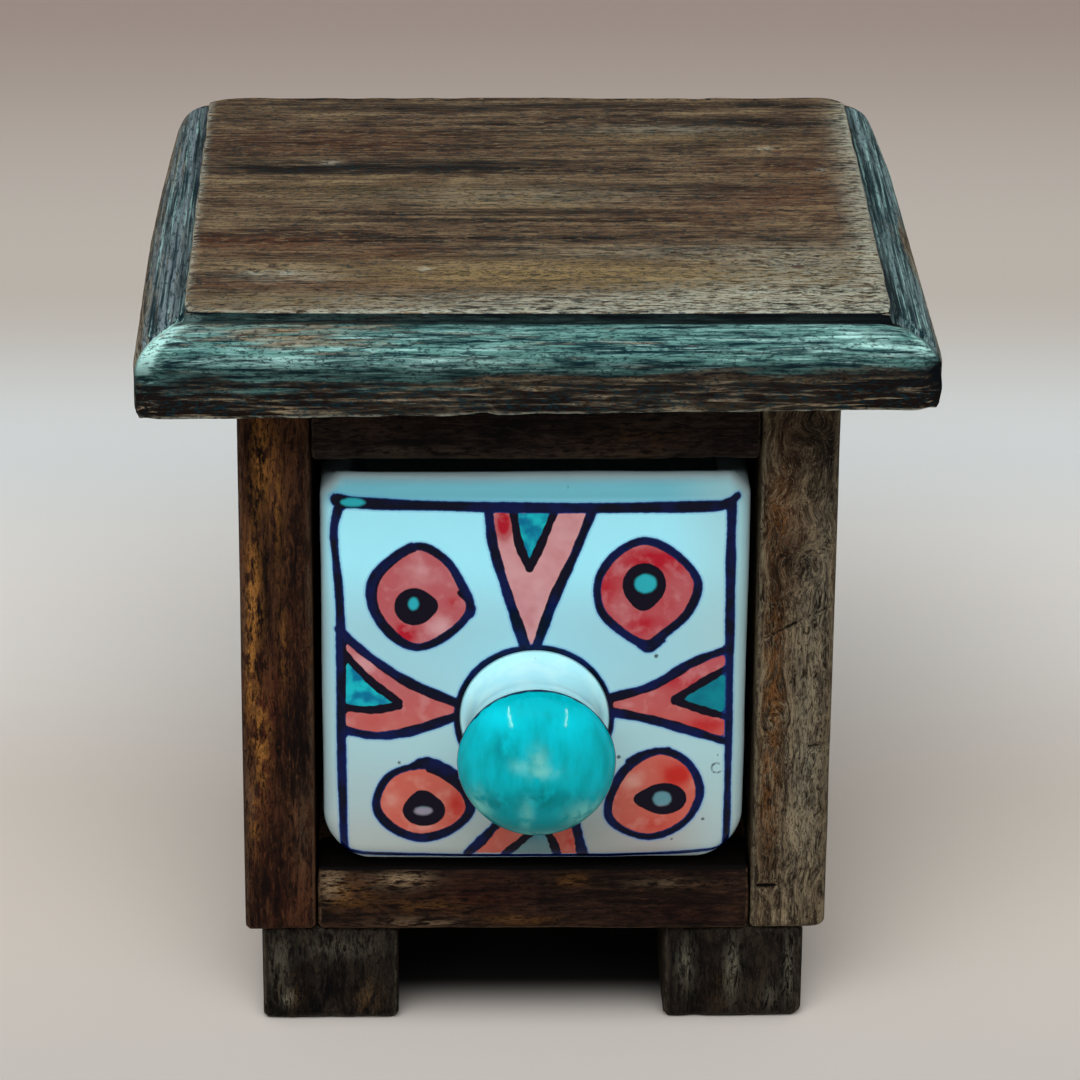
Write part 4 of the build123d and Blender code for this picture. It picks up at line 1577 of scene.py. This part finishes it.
# %% Turquoise glaze
def knob_glaze():
    """Copper-turquoise glaze over the dome, a cobalt line at the rim and bare white glaze on the neck."""
    material, tree, shader = start_material(
        "turquoise_gloss_glaze", Roughness=0.05, IOR=1.52, Specular_IOR_Level=0.08
    )
    place = add(tree, "TexCoord").outputs["Object"]
    pattern = {}
    # Each noise's features to the millimetre along X, Y and Z, and its shift
    for part, scale, shift in (
        ("streaks", (0.55, 0.5, 0.16), 0.0),
        ("patches", (0.45, 0.45, 0.35), 9.0),
        ("line", (0.5, 0.5, 0.5), 33.0),
        ("film", (0.5, 0.5, 0.5), 3.0),
        ("slip", (0.3, 0.3, 0.3), 5.0),
    ):
        stretch = [size / MM for size in scale]
        moved = add(tree, "Mapping", {"Vector": place, "Location": [shift, 0.0, 0.0], "Scale": stretch})
        pattern[part] = add(tree, "TexNoise", {"Vector": moved, "Scale": 1.0, "Detail": 3.0})
    zones = ("bright", "deep", "pale", "past_rim")
    carried = {zone: add(tree, "Attribute", attribute_name=zone).outputs["Fac"] for zone in zones}
    rise = add(tree, "SeparateXYZ", {0: place}).outputs["Z"]
    colour = lay(tree, "#009EA6", "#00B6C4", pattern["streaks"], 0.3, 0.68)
    # Painted light where the bright patches lie, and painted shade darkening the lower half
    colour = add(tree, "Mix", {"Factor": carried["bright"], "A": colour, "B": "#00DCEE"})
    colour = lay(tree, colour, "#008086", rise, 53.5 * MM, 44 * MM)
    colour = lay(tree, colour, "#007074", pattern["patches"], 0.3, 0.6, 1.0, carried["deep"])
    colour = lay(tree, colour, "#78CBC2", pattern["patches"], 0.7, 0.4, 1.0, carried["pale"])
    edge = add(tree, "Math", {0: carried["past_rim"], 1: pattern["line"]}, operation="ADD")
    colour = lay(tree, "#041C44", colour, edge, 1.0, 1.35)
    white = lay(tree, "#B6F4FE", "#C6FBFF", pattern["slip"], 0.4, 0.7)
    colour = lay(tree, white, colour, edge, 0.2, 0.4)
    specks = add(tree, "TexVoronoi", {"Vector": place, "Scale": 0.3 / MM})
    rare = add(tree, "Math", {0: specks.outputs["Distance"], 1: specks.outputs["Color"]}, operation="ADD")
    colour = lay(tree, colour, "#0A5A60", rare, 0.24, 0.14)
    tree.links.new(colour.outputs["Result"], shader.inputs["Base Color"])
    film = add(tree, "Bump", {"Height": pattern["film"], "Strength": 0.1, "Distance": 0.25 * MM})
    tree.links.new(film.outputs[0], shader.inputs["Normal"])
    return material


make_piece(
    "glazed_knob",
    np.concatenate([knob_surface, knob_poles]),
    ring_faces(*knob_grid.shape[:2]),
    knob_glaze(),
    "drawer",
    ["drawer_knob"],
    "knob_glaze",
    **knob_values,
)

# %% [markdown]
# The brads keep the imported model's shape. They are steel wire that has rusted in the wood, so only a
# dull brown head shows at the bottom of each punched mark.

# %% Rusted brads
def rusted_wire():
    """Bright steel gone dull, with brown rust in blotches half a millimetre across."""
    material, tree, shader = start_material("drawn_steel_wire_rusted", Metallic=0.7, Roughness=0.6)
    place = add(tree, "TexCoord").outputs["Object"]
    blotch = add(tree, "TexNoise", {"Vector": place, "Scale": 2.0 / MM, "Detail": 4.0})
    colour = lay(tree, "#5A5450", "#4A2A1A", blotch, 0.35, 0.6)
    tree.links.new(colour.outputs["Result"], shader.inputs["Base Color"])
    return material


wire = rusted_wire()
for node in ("top_brads", "left_side_brads", "right_side_brads", "back_panel_brads", "runner_brads"):
    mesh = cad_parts[node].data
    mesh.materials.clear()
    mesh.materials.append(wire)
print("brads keep their shape and take", wire.name)

# %% [markdown]
# The chest stands on one wide pale sheet. Far behind, the sheet turns a little pinker. Just behind the chest
# a lighter stretch is painted light, as from a window, and under the chest a painted shadow is laid on.

# %% Floor
floor_reach = 4.0
# Where each next colour of the paper begins and is full, in millimetres behind the chest's middle; the
# lightest, from 40 to 110 mm, is painted light that also offsets the chest's own shadow
paper_tones_and_painted_light = (
    (-70, 10, "#DBD1C6"),
    (40, 110, "#EAE5DE"),
    (130, 200, "#DADDDB"),
    (200, 290, "#C2B9AF"),
    (300, 500, "#A09087"),
)


def floor_finish():
    """Matt paper whose colour changes softly with the distance behind the chest, with painted light just
    behind it and a painted shadow under it.
    """
    material, tree, shader = start_material("matt_pale_paper", Roughness=0.9, Specular_IOR_Level=0.1)
    place = add(tree, "TexCoord").outputs["Object"]
    parts = add(tree, "SeparateXYZ", {0: place})
    back = parts.outputs["Y"]
    colour = "#D0C9C2"
    for begins, is_full, next_colour in paper_tones_and_painted_light:
        colour = lay(tree, colour, next_colour, back, begins * MM, is_full * MM)
    # Painted shadow: the paper is painted nearly black under the floor board, between the runners
    painted_shadow_under_chest = add(tree, "MapRange", {"Value": back, "From Min": -36 * MM, "From Max": -18.5 * MM})
    behind = add(tree, "MapRange", {"Value": back, "From Min": 52 * MM, "From Max": 40 * MM})
    painted_shadow_under_chest = add(tree, "Math", {0: painted_shadow_under_chest, 1: behind}, operation="MULTIPLY")
    aside = add(tree, "Math", {0: parts.outputs["X"]}, operation="ABSOLUTE")
    colour = lay(tree, colour, "#050505", aside, 44 * MM, 38 * MM, 1.0, painted_shadow_under_chest)
    tree.links.new(colour.outputs["Result"], shader.inputs["Base Color"])
    return material


corners = [(x * floor_reach, y * floor_reach, 0) for x, y in ((-1, -1), (1, -1), (1, 1), (-1, 1))]
floor_mesh = bpy.data.meshes.new("floor")
floor_mesh.from_pydata(corners, [], [(0, 1, 2, 3)])
floor_mesh.materials.append(floor_finish())
floor = bpy.data.objects.new("floor", floor_mesh)
bpy.context.scene.collection.objects.link(floor)
floor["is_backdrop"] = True
print("floor", 2 * floor_reach, "m wide")

# %% [markdown]
# The light is soft: a dim room, a bright ceiling and a wide window behind and above the camera, all in
# the world's own colour, so that they leave no edge in the glaze. Two long narrow lamps lean left and
# right of the camera. Only the glaze mirrors them: they are the two bright streaks on the knob. Their
# ends were found by mirroring the line of sight in the knob's dome.

# %% Two narrow lamps
# In metres from here on, as Blender places its lamps
knob_place = np.array([0.0, -0.05, 0.054])
lamp_distance, lamp_width = 1.2, 0.05
# Each lamp's two ends, as directions from the knob, and its power
lamps = (
    ("left_strip", (-0.496, -0.269, 0.825), (-0.368, -0.860, 0.353), 5.0),
    ("right_strip", (0.552, -0.332, 0.765), (0.457, -0.820, 0.344), 4.0),
)


def strip_lamp(name, upper, lower, aim, width, watts):
    """A long narrow lamp between two places, turned to face the aim: its length, and what is square to it."""
    lamp = bpy.data.lights.new(name, "AREA")
    lamp.shape = "RECTANGLE"
    lamp.size, lamp.size_y = width, float(np.linalg.norm(upper - lower))
    lamp.energy = watts
    strip = bpy.data.objects.new(name, lamp)
    strip.visible_diffuse = False
    bpy.context.scene.collection.objects.link(strip)
    middle = (upper + lower) / 2
    along = (upper - lower) / lamp.size_y
    across = np.cross(along, middle - aim)
    across = across / np.linalg.norm(across)
    stand(strip, across, along, np.cross(across, along), middle)
    print(name, "is", round(lamp.size_y, 2), "m long")


for name, upper, lower, watts in lamps:
    upper, lower = (knob_place + lamp_distance * np.array(end) for end in (upper, lower))
    strip_lamp(name, upper, lower, knob_place, lamp_width, watts)

# %% The room
to_camera = (-0.14, -0.99, 0.0)
window_light = 25.0


def room():
    """A room that is dim near the horizon and bright overhead, with a window on the camera's side."""
    world = bpy.data.worlds.new("room")
    bpy.context.scene.world = world
    world.use_nodes = True
    tree = world.node_tree
    sky = tree.nodes["Background"]
    around = add(tree, "TexCoord").outputs["Generated"]
    rise = add(tree, "SeparateXYZ", {0: around}).outputs["Z"]
    walls = {"Value": rise, "From Min": 0.05, "From Max": 0.45, "To Min": 0.06, "To Max": 0.17}
    ceiling = {"Value": rise, "From Min": 0.35, "From Max": 0.95, "To Max": 0.12}
    opening = {"Value": rise, "From Min": 0.5, "From Max": 0.7, "To Max": window_light}
    toward = add(tree, "VectorMath", {0: around, 1: to_camera}, operation="DOT_PRODUCT").outputs["Value"]
    before = add(tree, "Math", {0: toward, 1: 0.0}, operation="MAXIMUM")
    before = add(tree, "Math", {0: before, 1: 3.0}, operation="POWER")
    window = add(tree, "Math", {0: before, 1: add(tree, "MapRange", opening)}, operation="MULTIPLY")
    walls, ceiling = add(tree, "MapRange", walls), add(tree, "MapRange", ceiling)
    light = add(tree, "Math", {0: walls, 1: ceiling}, operation="ADD")
    light = add(tree, "Math", {0: light, 1: window}, operation="ADD")
    # The camera and anything that mirrors see a plain pale backdrop instead
    path = add(tree, "LightPath")
    seen = path.outputs["Is Camera Ray"]
    for kind in ("Is Glossy Ray", "Is Transmission Ray"):
        seen = add(tree, "Math", {0: seen, 1: path.outputs[kind]}, operation="MAXIMUM")
    strength = add(tree, "Mix", {"Factor": seen, "A": light, "B": 1.0}, data_type="FLOAT")
    colour = add(tree, "Mix", {"Factor": seen, "A": "#FBFDFF", "B": "#C6BFB8"})
    tree.links.new(strength.outputs[0], sky.inputs["Strength"])
    tree.links.new(colour.outputs["Result"], sky.inputs["Color"])


room()
print("world", bpy.context.scene.world.name, "lights the chest")
bpy.context.scene.view_settings.view_transform = "Standard"

# %% [markdown]
# Last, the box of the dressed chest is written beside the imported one's, to see that it hasn't grown.

# %% Measure and finish
shown_low, shown_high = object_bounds()
low_gain, high_gain = np.array(shown_low) - cad_low, np.array(shown_high) - cad_high
print("visual less packed, mm", np.round(low_gain / MM, 2), np.round(high_gain / MM, 2))
